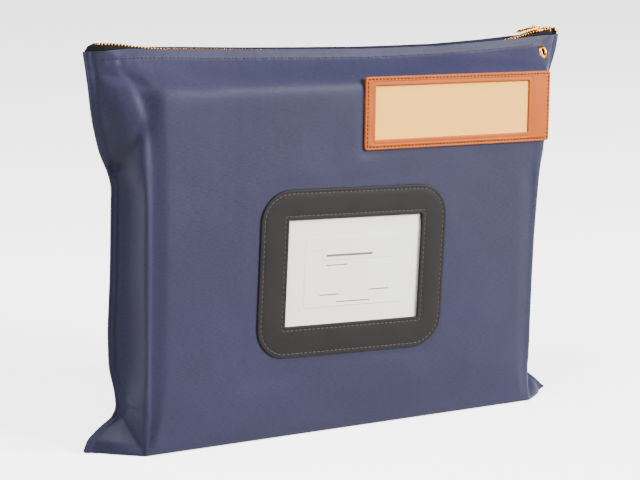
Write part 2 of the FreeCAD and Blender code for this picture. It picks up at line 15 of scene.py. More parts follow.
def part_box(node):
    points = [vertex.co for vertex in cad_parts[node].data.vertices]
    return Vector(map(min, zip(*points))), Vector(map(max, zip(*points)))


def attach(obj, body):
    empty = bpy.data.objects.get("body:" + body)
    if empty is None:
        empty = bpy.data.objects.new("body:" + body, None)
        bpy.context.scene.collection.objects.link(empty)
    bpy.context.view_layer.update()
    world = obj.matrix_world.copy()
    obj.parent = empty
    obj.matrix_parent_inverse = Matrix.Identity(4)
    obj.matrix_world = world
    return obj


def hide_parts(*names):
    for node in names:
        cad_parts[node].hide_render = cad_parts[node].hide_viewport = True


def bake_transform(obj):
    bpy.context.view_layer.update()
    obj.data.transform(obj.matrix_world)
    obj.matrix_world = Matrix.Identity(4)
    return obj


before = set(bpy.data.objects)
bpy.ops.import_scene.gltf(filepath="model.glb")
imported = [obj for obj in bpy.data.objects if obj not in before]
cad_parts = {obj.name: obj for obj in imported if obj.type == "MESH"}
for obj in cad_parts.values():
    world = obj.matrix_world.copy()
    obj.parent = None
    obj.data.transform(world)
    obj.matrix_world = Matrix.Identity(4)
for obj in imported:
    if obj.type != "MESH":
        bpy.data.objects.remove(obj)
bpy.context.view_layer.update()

MM = 0.001
FABRIC = 0.8
SEED = 23


# ---------------------------------------------------------------- levels read from the CAD frame

def box_mm(node):
    low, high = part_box(node)
    return np.array(low) / MM, np.array(high) / MM


hem_top = box_mm("front_panel")[1][2]
tape_middle = box_mm("zip_tape_front")[1][2] - 0.4
slider_low, slider_high = box_mm("zip_slider")
slider_x = (slider_low[0] + slider_high[0]) / 2
eyelet_low, eyelet_high = box_mm("front_eyelet")
eyelet_x = (eyelet_low[0] + eyelet_high[0]) / 2
eyelet_z = (eyelet_low[2] + eyelet_high[2]) / 2
window_low, window_high = box_mm("window_frame")
window_z = (window_low[2] + window_high[2]) / 2
label_low, label_high = box_mm("label_frame")


# ---------------------------------------------------------------- materials

def node_material(name):
    material = bpy.data.materials.new(name)
    material.use_nodes = True
    return material, material.node_tree.nodes, material.node_tree.links


def shader_of(nodes):
    return next(n for n in nodes if n.type == "BSDF_PRINCIPLED")


def coordinates(nodes, links, scale, uv=False, turn=0.0):
    """Object or cloth coordinates, scaled; the result is a Mapping node."""
    if uv:
        source = nodes.new("ShaderNodeUVMap")
        source.uv_map = "cloth"
        output = source.outputs["UV"]
    else:
        source = nodes.new("ShaderNodeTexCoord")
        output = source.outputs["Object"]
    mapping = nodes.new("ShaderNodeMapping")
    mapping.inputs["Scale"].default_value = scale
    mapping.inputs["Rotation"].default_value = (0, 0, turn)
    links.new(output, mapping.inputs["Vector"])
    return mapping


def noise(nodes, links, mapping, scale, detail=3.0, rough=0.5):
    texture = nodes.new("ShaderNodeTexNoise")
    texture.inputs["Scale"].default_value = scale
    texture.inputs["Detail"].default_value = detail
    texture.inputs["Roughness"].default_value = rough
    links.new(mapping.outputs["Vector"], texture.inputs["Vector"])
    return texture.outputs["Fac"]


def bands(nodes, links, mapping, direction, scale, distortion=0.0):
    texture = nodes.new("ShaderNodeTexWave")
    texture.wave_type = "BANDS"
    texture.bands_direction = direction
    texture.inputs["Scale"].default_value = scale
    texture.inputs["Distortion"].default_value = distortion
    links.new(mapping.outputs["Vector"], texture.inputs["Vector"])
    return texture.outputs["Fac"]


def ramp(nodes, links, factor, stops):
    """Colour ramp over a factor, from (position, linear colour) stops."""
    texture = nodes.new("ShaderNodeValToRGB")
    elements = texture.color_ramp.elements
    while len(elements) < len(stops):
        elements.new(0.5)
    for element, (place, colour) in zip(elements, stops):
        element.position = place
        element.color = (*colour, 1)
    links.new(factor, texture.inputs["Fac"])
    return texture.outputs["Color"]


def maths(nodes, links, operation, a, b):
    node = nodes.new("ShaderNodeMath")
    node.operation = operation
    for socket, value in zip(node.inputs, (a, b)):
        if isinstance(value, (int, float)):
            socket.default_value = value
        else:
            links.new(value, socket)
    return node.outputs[0]


def bump(nodes, links, height, strength, distance, after=None):
    node = nodes.new("ShaderNodeBump")
    node.inputs["Strength"].default_value = strength
    node.inputs["Distance"].default_value = distance
    links.new(height, node.inputs["Height"])
    if after is not None:
        links.new(after, node.inputs["Normal"])
    return node.outputs["Normal"]


def remap(nodes, links, factor, low, high):
    node = nodes.new("ShaderNodeMapRange")
    node.inputs["To Min"].default_value = low
    node.inputs["To Max"].default_value = high
    links.new(factor, node.inputs["Value"])
    return node.outputs["Result"]


def nylon(name, dark, light, sheen):
    """Coated woven nylon: plain weave, slubs along the weft, cloudy tone, soft sheen."""
    material, nodes, links = node_material(name)
    shader = shader_of(nodes)
    cloth = coordinates(nodes, links, (1, 1, 1), uv=True)
    slubs = coordinates(nodes, links, (1, 6, 1), uv=True)
    clouds = noise(nodes, links, cloth, 9.0, 4.0, 0.6)
    threads = noise(nodes, links, slubs, 260.0, 3.0, 0.65)
    weft = bands(nodes, links, cloth, "Y", 330.0, 0.6)
    warp = bands(nodes, links, cloth, "X", 360.0, 0.6)
    weave = maths(nodes, links, "MULTIPLY", weft, warp)
    tone = maths(nodes, links, "MULTIPLY", clouds, 0.3)
    tone = maths(nodes, links, "ADD", tone, maths(nodes, links, "MULTIPLY", threads, 0.5))
    tone = maths(nodes, links, "ADD", tone, maths(nodes, links, "MULTIPLY", weave, 0.2))
    colour = ramp(nodes, links, tone, [(0.3, dark), (0.62, light)])
    links.new(colour, shader.inputs["Base Color"])
    links.new(remap(nodes, links, threads, 0.40, 0.58), shader.inputs["Roughness"])
    shader.inputs["Specular IOR Level"].default_value = 0.1
    shader.inputs["Sheen Weight"].default_value = sheen
    shader.inputs["Sheen Roughness"].default_value = 0.45
    shader.inputs["Sheen Tint"].default_value = (0.62, 0.68, 0.95, 1)
    fine = bump(nodes, links, weave, 0.35, 0.00012)
    coarse = bump(nodes, links, threads, 0.22, 0.0002, fine)
    links.new(coarse, shader.inputs["Normal"])
    return material


def ribbed_tape():
    """Black woven zip tape with ribs along its length."""
    material, nodes, links = node_material("zip_tape_weave")
    shader = shader_of(nodes)
    place = coordinates(nodes, links, (1, 1, 1))
    ribs = bands(nodes, links, place, "Y", 420.0, 0.2)
    across = bands(nodes, links, place, "X", 300.0, 0.4)
    height = maths(nodes, links, "ADD", ribs, maths(nodes, links, "MULTIPLY", across, 0.5))
    colour = ramp(nodes, links, height, [(0.1, (0.0015, 0.0013, 0.0013)), (1.0, (0.007, 0.006, 0.0055))])
    links.new(colour, shader.inputs["Base Color"])
    shader.inputs["Roughness"].default_value = 0.75
    shader.inputs["Specular IOR Level"].default_value = 0.06
    links.new(bump(nodes, links, height, 0.5, 0.00015), shader.inputs["Normal"])
    return material


def brass(name, base, rough):
    """Polished brass with fine scratches and slightly duller patches."""
    material, nodes, links = node_material(name)
    shader = shader_of(nodes)
    place = coordinates(nodes, links, (1, 1, 1))
    streaks = coordinates(nodes, links, (0.25, 3, 1), turn=0.5)
    patches = noise(nodes, links, place, 180.0, 3.0)
    scratches = noise(nodes, links, streaks, 900.0, 2.0)
    darker = tuple(0.72 * c for c in base)
    links.new(ramp(nodes, links, patches, [(0.3, darker), (0.6, base)]), shader.inputs["Base Color"])
    links.new(remap(nodes, links, patches, rough, rough + 0.16), shader.inputs["Roughness"])
    shader.inputs["Specular Tint"].default_value = (0.80, 0.46, 0.14, 1)
    shader.inputs["Metallic"].default_value = 1.0
    links.new(bump(nodes, links, scratches, 0.15, 0.00006), shader.inputs["Normal"])
    return material


def leatherette(name, dark, light, grain_scale, rough):
    """Embossed leatherette: pebbled grain with darker creases and a little tone drift."""
    material, nodes, links = node_material(name)
    shader = shader_of(nodes)
    place = coordinates(nodes, links, (1, 1, 1))
    grain = nodes.new("ShaderNodeTexVoronoi")
    grain.feature = "DISTANCE_TO_EDGE"
    grain.inputs["Scale"].default_value = grain_scale
    links.new(place.outputs["Vector"], grain.inputs["Vector"])
    pebbles = remap(nodes, links, grain.outputs["Distance"], 0.0, 2.0)
    drift = noise(nodes, links, place, 40.0, 4.0)
    tone = maths(nodes, links, "ADD", maths(nodes, links, "MULTIPLY", drift, 0.7),
                 maths(nodes, links, "MULTIPLY", pebbles, 0.25))
    links.new(ramp(nodes, links, tone, [(0.25, dark), (0.75, light)]), shader.inputs["Base Color"])
    links.new(remap(nodes, links, drift, rough - 0.07, rough + 0.07), shader.inputs["Roughness"])
    shader.inputs["Specular IOR Level"].default_value = 0.1
    fine = bump(nodes, links, pebbles, 0.35, 0.00012)
    links.new(bump(nodes, links, drift, 0.25, 0.0006, fine), shader.inputs["Normal"])
    return material


def paper(name, dark, light):
    """Matte card stock with faint fibres."""
    material, nodes, links = node_material(name)
    shader = shader_of(nodes)
    place = coordinates(nodes, links, (1, 1, 1))
    fibres = noise(nodes, links, place, 900.0, 4.0, 0.7)
    clouds = noise(nodes, links, place, 22.0, 3.0)
    tone = maths(nodes, links, "ADD", maths(nodes, links, "MULTIPLY", fibres, 0.4),
                 maths(nodes, links, "MULTIPLY", clouds, 0.6))
    links.new(ramp(nodes, links, tone, [(0.3, dark), (0.7, light)]), shader.inputs["Base Color"])
    shader.inputs["Roughness"].default_value = 0.85
    links.new(bump(nodes, links, fibres, 0.1, 0.00005), shader.inputs["Normal"])
    return material


def clear_film():
    """Thin clear film: almost all see-through, with wavy gloss."""
    material, nodes, links = node_material("clear_film_sheet")
    shader = shader_of(nodes)
    place = coordinates(nodes, links, (1, 1, 1))
    waves = noise(nodes, links, place, 30.0, 2.0)
    links.new(ramp(nodes, links, waves, [(0.0, (0.30, 0.31, 0.33)), (1.0, (0.4, 0.4, 0.4))]),
              shader.inputs["Base Color"])
    shader.inputs["Alpha"].default_value = 0.07
    shader.inputs["Roughness"].default_value = 0.12
    links.new(bump(nodes, links, waves, 0.2, 0.002), shader.inputs["Normal"])
    return material


def thread_material(name, dark, light):
    """Twisted sewing thread."""
    material, nodes, links = node_material(name)
    shader = shader_of(nodes)
    place = coordinates(nodes, links, (1, 1, 1), turn=0.7)
    twist = bands(nodes, links, place, "DIAGONAL", 900.0, 0.5)
    links.new(ramp(nodes, links, twist, [(0.0, dark), (1.0, light)]), shader.inputs["Base Color"])
    shader.inputs["Roughness"].default_value = 0.7
    shader.inputs["Specular IOR Level"].default_value = 0.08
    links.new(bump(nodes, links, twist, 0.4, 0.0001), shader.inputs["Normal"])
    return material


def print_ink():
    """Faded grey print on the card."""
    material, nodes, links = node_material("card_ink")
    shader = shader_of(nodes)
    place = coordinates(nodes, links, (1, 1, 1))
    speckle = noise(nodes, links, place, 1500.0, 2.0)
    links.new(ramp(nodes, links, speckle, [(0.35, (0.03, 0.026, 0.026)), (0.65, (0.13, 0.12, 0.12))]),
              shader.inputs["Base Color"])
    shader.inputs["Roughness"].default_value = 0.8
    return material


def matte(name, colour, rough=0.9):
    """Plain matte surface with a barely visible mottle."""
    material, nodes, links = node_material(name)
    shader = shader_of(nodes)
    place = coordinates(nodes, links, (1, 1, 1))
    mottle = noise(nodes, links, place, 3.0, 2.0)
    close = tuple(0.985 * c for c in colour)
    links.new(ramp(nodes, links, mottle, [(0.3, close), (0.7, colour)]), shader.inputs["Base Color"])
    shader.inputs["Roughness"].default_value = rough
    return material


NYLON = nylon("navy_nylon_weave", (0.0122, 0.0119, 0.0255), (0.0255, 0.0247, 0.0530), 0.03)
LINING = nylon("navy_lining_weave", (0.008, 0.009, 0.017), (0.013, 0.015, 0.028), 0.03)
TAPE = ribbed_tape()
ZIP_BRASS = brass("zip_brass_polish", (0.60, 0.285, 0.05), 0.24)
EYELET_BRASS = brass("eyelet_brass_polish", (0.66, 0.325, 0.06), 0.2)
TAN = leatherette("tan_grain", (0.29, 0.062, 0.005), (0.41, 0.088, 0.009), 1500.0, 0.5)
BLACK = leatherette("black_grain", (0.0042, 0.0034, 0.0033), (0.0092, 0.0075, 0.0072), 1500.0, 0.52)
YELLOW = paper("yellow_card_stock", (0.93, 0.41, 0.008), (1.0, 0.46, 0.014))
WHITE = paper("white_card_stock", (0.93, 0.89, 0.85), (0.99, 0.96, 0.93))
FILM = clear_film()
BROWN_THREAD = thread_material("brown_thread_twist", (0.008, 0.003, 0.0015), (0.026, 0.009, 0.004))
GREY_THREAD = thread_material("grey_thread_twist", (0.03, 0.024, 0.02), (0.11, 0.09, 0.075))
NAVY_THREAD = thread_material("navy_thread_twist", (0.003, 0.003, 0.006), (0.009, 0.009, 0.018))
INK = print_ink()


# ---------------------------------------------------------------- mesh helpers

def make_piece(name, points, faces, material, uv=None, loop_normals=None, smooth=True):
    """One mesh object from millimetre points; uv is per point, in metres."""
    mesh = bpy.data.meshes.new(name)
    mesh.from_pydata((np.asarray(points) * MM).tolist(), [], faces)
    mesh.materials.append(material)
    mesh.polygons.foreach_set("use_smooth", [smooth] * len(mesh.polygons))
    if uv is not None:
        layer = mesh.uv_layers.new(name="cloth")
        order = np.zeros(len(mesh.loops), int)
        mesh.loops.foreach_get("vertex_index", order)
        layer.data.foreach_set("uv", np.asarray(uv)[order].ravel())
    if loop_normals is None:
        face_outwards(mesh)
    else:
        mesh.normals_split_custom_set(loop_normals.tolist())
    piece = bpy.data.objects.new(name, mesh)
    bpy.context.scene.collection.objects.link(piece)
    return piece


def face_outwards(mesh):
    """Turn the faces of closed parts so that their normals point out."""
    shape = bmesh.new()
    shape.from_mesh(mesh)
    bmesh.ops.recalc_face_normals(shape, faces=shape.faces)
    shape.to_mesh(mesh)
    shape.free()


def sharpen(piece, degrees=35.0):
    """Shade smooth, but keep edges that turn more than this angle crisp."""
    mesh = piece.data
    shape = bmesh.new()
    shape.from_mesh(mesh)
    for edge in shape.edges:
        if len(edge.link_faces) == 2:
            edge.smooth = edge.calc_face_angle(0.0) < math.radians(degrees)
    shape.to_mesh(mesh)
    shape.free()
    return piece


class Shell:
    """Collects points and faces of several closed parts for one mesh."""

    def __init__(self):
        self.points = []
        self.faces = []
        self.count = 0

    def add(self, points, faces):
        points = np.asarray(points, float)
        self.points.append(points)
        self.faces += [tuple(i + self.count for i in face) for face in faces]
        self.count += len(points)

    def piece(self, name, material, slot, smooth=True):
        return make_piece(name, np.concatenate(self.points), self.faces, material, smooth=smooth)


def ring_faces(rows, columns, closed_rows=True):
    """Quads between rings of points; columns run round the ring, rows across the profile."""
    faces = []
    for r in range(rows if closed_rows else rows - 1):
        low, high = r * columns, ((r + 1) % rows) * columns
        for c in range(columns):
            nxt = (c + 1) % columns
            faces.append((low + c, low + nxt, high + nxt, high + c))
    return faces


def bevelled_box(size, bevel, segments=2):
    """Points and faces of a box with rounded edges, centred on the origin."""
    shape = bmesh.new()
    bmesh.ops.create_cube(shape, size=1.0)
    bmesh.ops.scale(shape, vec=size, verts=shape.verts)
    bmesh.ops.bevel(shape, geom=shape.edges[:], offset=bevel, segments=segments, profile=0.6,
                    affect="EDGES", clamp_overlap=True)
    points = np.array([v.co for v in shape.verts])
    faces = [tuple(v.index for v in f.verts) for f in shape.faces]
    shape.free()
    return points, faces


def smoothstep(t):
    t = np.clip(t, 0.0, 1.0)
    return t * t * (3 - 2 * t)


def bell(value, centre, width):
    return np.exp(-((value - centre) / width) ** 2)


# ---------------------------------------------------------------- fabric walls

# level, centre depth, then (half width, depth) at crease, side, fold and root, and the edge's half width
SECTIONS = np.array([
    (0.0, 29.9, 172.5, 29.9, 174.0, 29.2, 190.0, 16.5, 206.0, 2.4, 210.0),
    (9.0, 30.0, 172.2, 30.0, 175.6, 20.5, 190.0, 13.5, 202.0, 2.4, 206.5),
    (17.0, 30.0, 172.0, 30.0, 178.2, 12.0, 185.5, 8.5, 192.5, 2.4, 197.5),
    (24.0, 30.0, 172.0, 30.0, 180.0, 5.8, 181.4, 4.3, 182.8, 2.4, 187.0),
    (32.0, 30.0, 171.9, 30.0, 178.0, 9.0, 179.5, 4.6, 181.0, 2.2, 183.0),
    (45.0, 30.0, 171.8, 30.0, 175.5, 18.0, 178.5, 6.0, 181.5, 2.2, 184.7),
    (63.0, 30.0, 171.8, 30.0, 174.5, 18.0, 178.8, 6.5, 184.8, 2.2, 189.2),
    (91.0, 30.0, 171.8, 30.0, 174.0, 18.0, 178.5, 6.0, 185.6, 2.2, 190.0),
    (133.0, 30.0, 171.8, 30.0, 173.7, 18.0, 177.5, 6.0, 183.8, 2.2, 188.1),
    (186.0, 30.0, 172.2, 30.0, 174.0, 18.0, 177.0, 6.0, 183.0, 2.2, 187.3),
    (200.0, 30.0, 172.6, 29.8, 175.6, 17.6, 178.2, 6.5, 182.6, 2.3, 186.8),
    (212.0, 30.0, 172.8, 29.5, 178.2, 18.5, 182.5, 8.0, 186.6, 2.5, 190.7),
    (225.0, 30.0, 171.2, 29.2, 180.8, 18.9, 188.0, 9.0, 192.7, 2.8, 196.7),
    (246.0, 30.0, 166.0, 28.9, 182.5, 19.2, 192.5, 10.8, 197.7, 3.0, 201.7),
    (262.0, 29.9, 161.0, 28.2, 183.0, 18.4, 195.0, 9.7, 200.2, 2.8, 204.0),
    (268.0, 29.5, 160.0, 27.3, 183.2, 17.0, 195.6, 9.0, 200.8, 2.7, 204.6),
    (271.0, 28.8, 160.0, 26.4, 183.6, 15.9, 196.2, 8.5, 201.1, 2.6, 204.9),
    (274.0, 26.6, 161.0, 24.3, 184.4, 14.4, 196.8, 8.0, 201.5, 2.6, 205.3),
    (279.0, 21.3, 163.0, 19.7, 186.2, 12.2, 198.0, 6.7, 202.3, 2.5, 206.2),
    (286.0, 14.1, 169.0, 13.3, 189.2, 8.8, 199.5, 5.5, 203.2, 2.3, 207.1),
    (290.5, 9.6, 178.0, 9.4, 192.0, 7.6, 200.6, 4.9, 204.0, 2.1, 208.0),
    (293.0, 8.2, 182.0, 8.0, 193.5, 6.8, 201.0, 4.6, 204.2, 2.1, 208.3),
    (298.5, 7.5, 196.0, 7.2, 199.5, 5.8, 202.5, 4.2, 204.8, 2.1, 209.0),
])
# level, then how much further out crease, side, fold, root and edge lie on the right
RIGHT_SHIFT = np.array([
    (0.0, 2.0, 2.5, 4.0, 0.0, 0.0),
    (9.0, 2.0, 2.0, -2.0, -4.5, -6.5),
    (17.0, 2.0, 1.0, -2.5, -6.0, -8.5),
    (24.0, 2.0, 0.0, -0.5, -1.0, -1.5),
    (32.0, 2.0, 0.5, 0.0, 0.0, 0.0),
    (60.0, 1.8, 0.5, 0.0, 0.0, 0.0),
    (133.0, 1.5, 0.7, 0.0, 0.0, 0.0),
    (160.0, 2.3, 1.2, 0.0, 0.0, 0.0),
    (186.0, 4.0, 2.2, 0.5, 0.0, 0.0),
    (200.0, 5.5, 3.0, 1.0, -0.3, -0.5),
    (212.0, 7.5, 4.0, 1.5, -1.0, -2.0),
    (225.0, 10.0, 4.5, 0.0, -3.0, -4.0),
    (246.0, 15.6, 5.5, 0.0, -3.2, -4.4),
    (262.0, 21.0, 6.0, -0.5, -2.8, -3.9),
    (271.0, 22.0, 6.0, -0.5, -2.0, -2.8),
    (279.0, 16.0, 4.0, 0.0, -0.6, -1.0),
    (286.0, 10.6, 3.6, 0.0, 0.0, 0.0),
    (293.0, 3.5, 1.5, 0.0, 0.0, 0.0),
    (298.5, 0.0, 0.0, 0.0, 0.0, 0.0),
])
EDGE_DEPTH = 1.1
HEM_SAG = np.array([(-210, 0.0), (-180, 2.0), (-135, 0.3), (-70, -2.1), (20, -4.6), (90, -4.7),
                    (140, -2.5), (188, 0.3), (210, 0.5)])
SPANS = (84, 9, 9, 8, 5)
LEVELS = np.concatenate([np.arange(0.0, 31.0, 1.0), np.linspace(32.6, hem_top, 150)])


def half_section(shift):
    """Distance from the middle and depth, level by level, from the centre line to the seam edge."""
    table = {i: np.interp(LEVELS, SECTIONS[:, 0], SECTIONS[:, i]) for i in range(1, 11)}
    out = [np.interp(LEVELS, RIGHT_SHIFT[:, 0], RIGHT_SHIFT[:, i]) * shift for i in range(1, 6)]
    firmer = 0.06 * np.maximum(out[0], 0)
    corners = [(table[2] + out[0], table[3] + firmer), (table[4] + out[1], table[5]),
               (table[6] + out[2], table[7]), (table[8] + out[3], table[9]),
               (table[10] + out[4], np.full(len(LEVELS), EDGE_DEPTH))]
    t = np.linspace(0, 1, SPANS[0] + 1)
    across = [np.outer(corners[0][0], t)]
    depth = [table[1][:, None] + np.outer(corners[0][1] - table[1], t ** 6)]
    for (start, end), steps in zip(zip(corners, corners[1:]), SPANS[1:]):
        t = np.linspace(0, 1, steps + 1)[1:]
        across.append(start[0][:, None] * (1 - t) + end[0][:, None] * t)
        depth.append(start[1][:, None] * (1 - t) + end[1][:, None] * t)
    return np.concatenate(across, 1), np.concatenate(depth, 1)


def soften(field, axis, passes):
    """Repeated 1-2-1 smoothing along one axis with its two ends kept."""
    field = field.copy()
    for _ in range(passes):
        if axis == 1:
            field[:, 1:-1] = (field[:, :-2] + 2 * field[:, 1:-1] + field[:, 2:]) / 4
        else:
            field[1:-1] = (field[:-2] + 2 * field[1:-1] + field[2:]) / 4
    return field


def surface_normals(points):
    """Unit normals of a grid whose columns run along +X and rows up."""
    along = np.gradient(points, axis=1)
    up = np.gradient(points, axis=0)
    normal = np.cross(along, up)
    return normal / np.maximum(np.linalg.norm(normal, axis=2, keepdims=True), 1e-9)


def ripples(across, level, generator, count, longest, shortest, height):
    """Seeded sum of crossing low waves, as soft unevenness in the cloth."""
    field = np.zeros_like(across)
    for _ in range(count):
        heading = generator.uniform(0, math.pi)
        length = generator.uniform(shortest, longest)
        phase = generator.uniform(0, 2 * math.pi)
        wave = 2 * math.pi / length
        field += np.sin(wave * (across * math.cos(heading) + level * math.sin(heading)) + phase)
    return height * field / math.sqrt(count)


def fold_line(across, level, start, end, width, fade=10.0):
    """1 on the line from start to end, falling off to its sides and past its ends."""
    start, end = np.array(start, float), np.array(end, float)
    run = end - start
    length = np.linalg.norm(run)
    run = run / length
    along = (across - start[0]) * run[0] + (level - start[1]) * run[1]
    beside = -(across - start[0]) * run[1] + (level - start[1]) * run[0]
    past = np.maximum(0, np.maximum(-along, along - length))
    return np.exp(-(beside / width) ** 2 - (past / fade) ** 2)


def shoulder_hollow(across, level, side, height):
    """The shallow hollow beside a crease: steep towards the crease, drawn out towards the panel."""
    x = across * side
    centre = np.interp(level, [0, 12, 28, 215, 240, 255, 264, 276, 286],
                       [171.5, 170.2, 168.6, 168, 169, 170.8, 172.5, 177, 184])
    reach = np.interp(level, [0, 30, 60, 240, 286], [4.5, 9, 13, 13, 16])
    inner = 1 - smoothstep((centre - x) / reach)
    outer = np.exp(-np.clip((x - centre) / 3.4, 0, None) ** 2)
    rise = smoothstep((level + 1) / 16) * (1 - 0.8 * smoothstep((level - 262) / 26))
    return -height * rise * inner * outer


def wall_grid(front):
    """Points and normals of a wall's outer face; the back is made as a front and mirrored later."""
    generator = np.random.default_rng(SEED if front else SEED + 1)
    left, left_depth = half_section(0.0)
    right, right_depth = half_section(1.0)
    across = np.concatenate([-left[:, ::-1], right[:, 1:]], 1)
    depth = np.concatenate([left_depth[:, ::-1], right_depth[:, 1:]], 1)
    across, depth = soften(across, 1, 7), soften(depth, 1, 7)
    calm = smoothstep((LEVELS - 26) / 14)[:, None]
    for _ in range(3):
        across = across + (soften(across, 0, 3) - across) * (0.35 + 0.65 * calm)
        depth = depth + (soften(depth, 0, 3) - depth) * (0.35 + 0.65 * calm)
    depth[:, 8:-8] -= 1.2 * np.exp(-LEVELS / 0.8)[:, None]
    level = np.repeat(LEVELS[:, None], across.shape[1], 1)
    sag = np.interp(across, HEM_SAG[:, 0], HEM_SAG[:, 1]) * smoothstep((level - 262) / 36)
    points = np.stack([across, -depth, level + sag], 2)
    lift = wall_relief(across, level, generator, front)
    points = points + surface_normals(points) * lift[..., None]
    points[..., 2] = np.maximum(points[..., 2], 0.0)
    return points, surface_normals(points)


def wall_relief(across, level, generator, front):
    """How far the cloth stands out along its normal from the lofted shape."""
    side_on = smoothstep((np.abs(across) - 150) / 25)
    panel = np.clip(1 - (across / 178) ** 4, 0, 1) * smoothstep(level / 40)
    panel *= 1 - smoothstep((level - 150) / 110)
    lift = 2.4 * panel
    lift += shoulder_hollow(across, level, -1, 2.9)
    lift += shoulder_hollow(across, level, 1, 1.0) * (1 - smoothstep((level - 185) / 22))
    crease = smoothstep((level - 4) / 20) * (1 - smoothstep((level - 215) / 20))
    lift += 0.4 * bell(np.abs(across), 172.8, 3.0) * crease
    for side, folded in ((-1, 1.0), (1, 0.3)):
        x = across * side
        lift += 2.2 * folded * bell(x, 186, 9) * bell(level, 256, 12)
        lift -= 2.3 * folded * fold_line(x, level, (175.5, 243), (186.5, 214), 4.2, 6)
        lift += 0.8 * folded * fold_line(x, level, (174.2, 236), (176.5, 208), 2.6, 6)
        lift -= 1.3 * folded * fold_line(x, level, (172, 276), (196, 283), 4.5, 8)
        lift += 0.7 * fold_line(x, level, (176.5, 37), (180, 42), 2.4, 2.5)
        lift -= 0.6 * fold_line(x, level, (176, 31), (181, 33), 2.2, 3)
        lift += 0.8 * bell(level, 7, 6) * bell(x, 192, 8)
    lift -= 0.7 * fold_line(across, level, (-172, 284), (-130, 275), 5.0, 14)
    lift -= 0.6 * fold_line(across, level, (120, 287), (165, 281), 3.5, 10)
    lift -= 0.5 * fold_line(across, level, (40, 288), (52, 280), 2.5, 6)
    near_window = smoothstep((98 - np.abs(across)) / 10) * smoothstep((78 - np.abs(level - 126)) / 10)
    quiet_window = 1 - 0.85 * near_window
    quiet_label = 1 - 0.9 * smoothstep(across / 10) * smoothstep((36 - np.abs(level - 246)) / 7)
    quiet = quiet_window * (quiet_label if front else 1) * smoothstep(level / 12)
    lift += ripples(across, level, generator, 9, 190, 80, 0.42) * quiet
    lift += ripples(across, level, generator, 12, 60, 24, 0.09) * quiet
    lift += ripples(across, level, generator, 16, 16, 6, 0.018) * quiet
    lift += hem_relief(across, level)
    edge = edge_half_width(level, across > 0) - np.abs(across)
    lift += 0.45 * bell(edge, 2.2, 1.5) - 0.35 * bell(edge, 5.0, 1.1)
    return lift * (1 - 0.6 * side_on * smoothstep((3 - edge) / 3))


def edge_half_width(level, on_right):
    plain = np.interp(level, SECTIONS[:, 0], SECTIONS[:, 10])
    return plain + np.where(on_right, np.interp(level, RIGHT_SHIFT[:, 0], RIGHT_SHIFT[:, 5]), 0)


HEM_LINE = hem_top - 6.4
HEM_STITCH = (2.6, 0.5, 0.45)


def hem_relief(across, level):
    """The folded hem: a thicker band, a stitched valley under it, and small puckers."""
    band = 0.45 * smoothstep((level - HEM_LINE - 0.4) / 1.2)
    valley = -0.5 * bell(level, HEM_LINE, 0.9)
    puckers = 0.16 * np.sin(2 * math.pi * across / 7.6) * bell(level, HEM_LINE - 2.5, 3.5)
    return band + valley + puckers


def cloth_coordinates(points):
    """Arc lengths over the cloth from the centre column and from the floor, in metres."""
    steps = np.linalg.norm(np.diff(points, axis=1), axis=2)
    along = np.concatenate([np.zeros((len(points), 1)), np.cumsum(steps, 1)], 1)
    along = along - along[:, points.shape[1] // 2][:, None]
    rises = np.linalg.norm(np.diff(points, axis=0), axis=2)
    up = np.concatenate([np.zeros((1, points.shape[1])), np.cumsum(rises, 0)], 0)
    return np.stack([along, up], 2) * MM


def wall_piece(name, points, normals, uv, columns, keep_quad, mirrored):
    """A closed fabric shell over some columns of the grid: outer face, inner face and all rims."""
    rows = points.shape[0]
    wide = columns[1] - columns[0] + 1
    outer = points[:, columns[0]:columns[1] + 1].reshape(-1, 3)
    facing = normals[:, columns[0]:columns[1] + 1].reshape(-1, 3)
    inner = outer - facing * FABRIC
    inner[:, 1] = np.minimum(inner[:, 1], -0.25)
    flat_uv = uv[:, columns[0]:columns[1] + 1].reshape(-1, 2)
    total = rows * wide
    faces, loop_normals, used = [], [], {}
    for r in range(rows - 1):
        for c in range(wide - 1):
            if not keep_quad[r, c + columns[0]]:
                continue
            quad = (r * wide + c, r * wide + c + 1, (r + 1) * wide + c + 1, (r + 1) * wide + c)
            faces.append(quad)
            loop_normals += [facing[i] for i in quad]
            back = tuple(i + total for i in reversed(quad))
            faces.append(back)
            loop_normals += [-facing[i - total] for i in back]
            for a, b in zip(quad, quad[1:] + quad[:1]):
                if (b, a) in used:
                    del used[(b, a)]
                else:
                    used[(a, b)] = True
    everything = np.concatenate([outer, inner])
    middle = points.shape[1] // 2
    for a, b in used:
        inside_cut = {(a % wide) + columns[0], (b % wide) + columns[0]} == {middle} and len(
            {columns[0], columns[1]} & {middle}) == 1
        if inside_cut:
            continue
        quad = (b, a, a + total, b + total)
        faces.append(quad)
        across = everything[a] - everything[b]
        down = everything[a + total] - everything[a]
        rim = np.cross(across, down)
        rim = rim / max(np.linalg.norm(rim), 1e-9)
        loop_normals += [rim] * 4
    loop_normals = np.array(loop_normals)
    if mirrored:
        everything = everything * (1, -1, 1)
        lengths = [len(face) for face in faces]
        starts = np.concatenate([[0], np.cumsum(lengths)])
        faces = [tuple(reversed(face)) for face in faces]
        loop_normals = np.concatenate([loop_normals[s:s + n][::-1] for s, n in zip(starts, lengths)])
        loop_normals = loop_normals * (1, -1, 1)
    kept = np.unique([i for face in faces for i in face])
    number = {int(old): new for new, old in enumerate(kept)}
    faces = [tuple(number[i] for i in face) for face in faces]
    both_uv = np.concatenate([flat_uv, flat_uv])[kept]
    return make_piece(name, everything[kept], faces, NYLON, both_uv, loop_normals)


front, front_normals = wall_grid(True)
back, back_normals = wall_grid(False)
CENTRE = front.shape[1] // 2


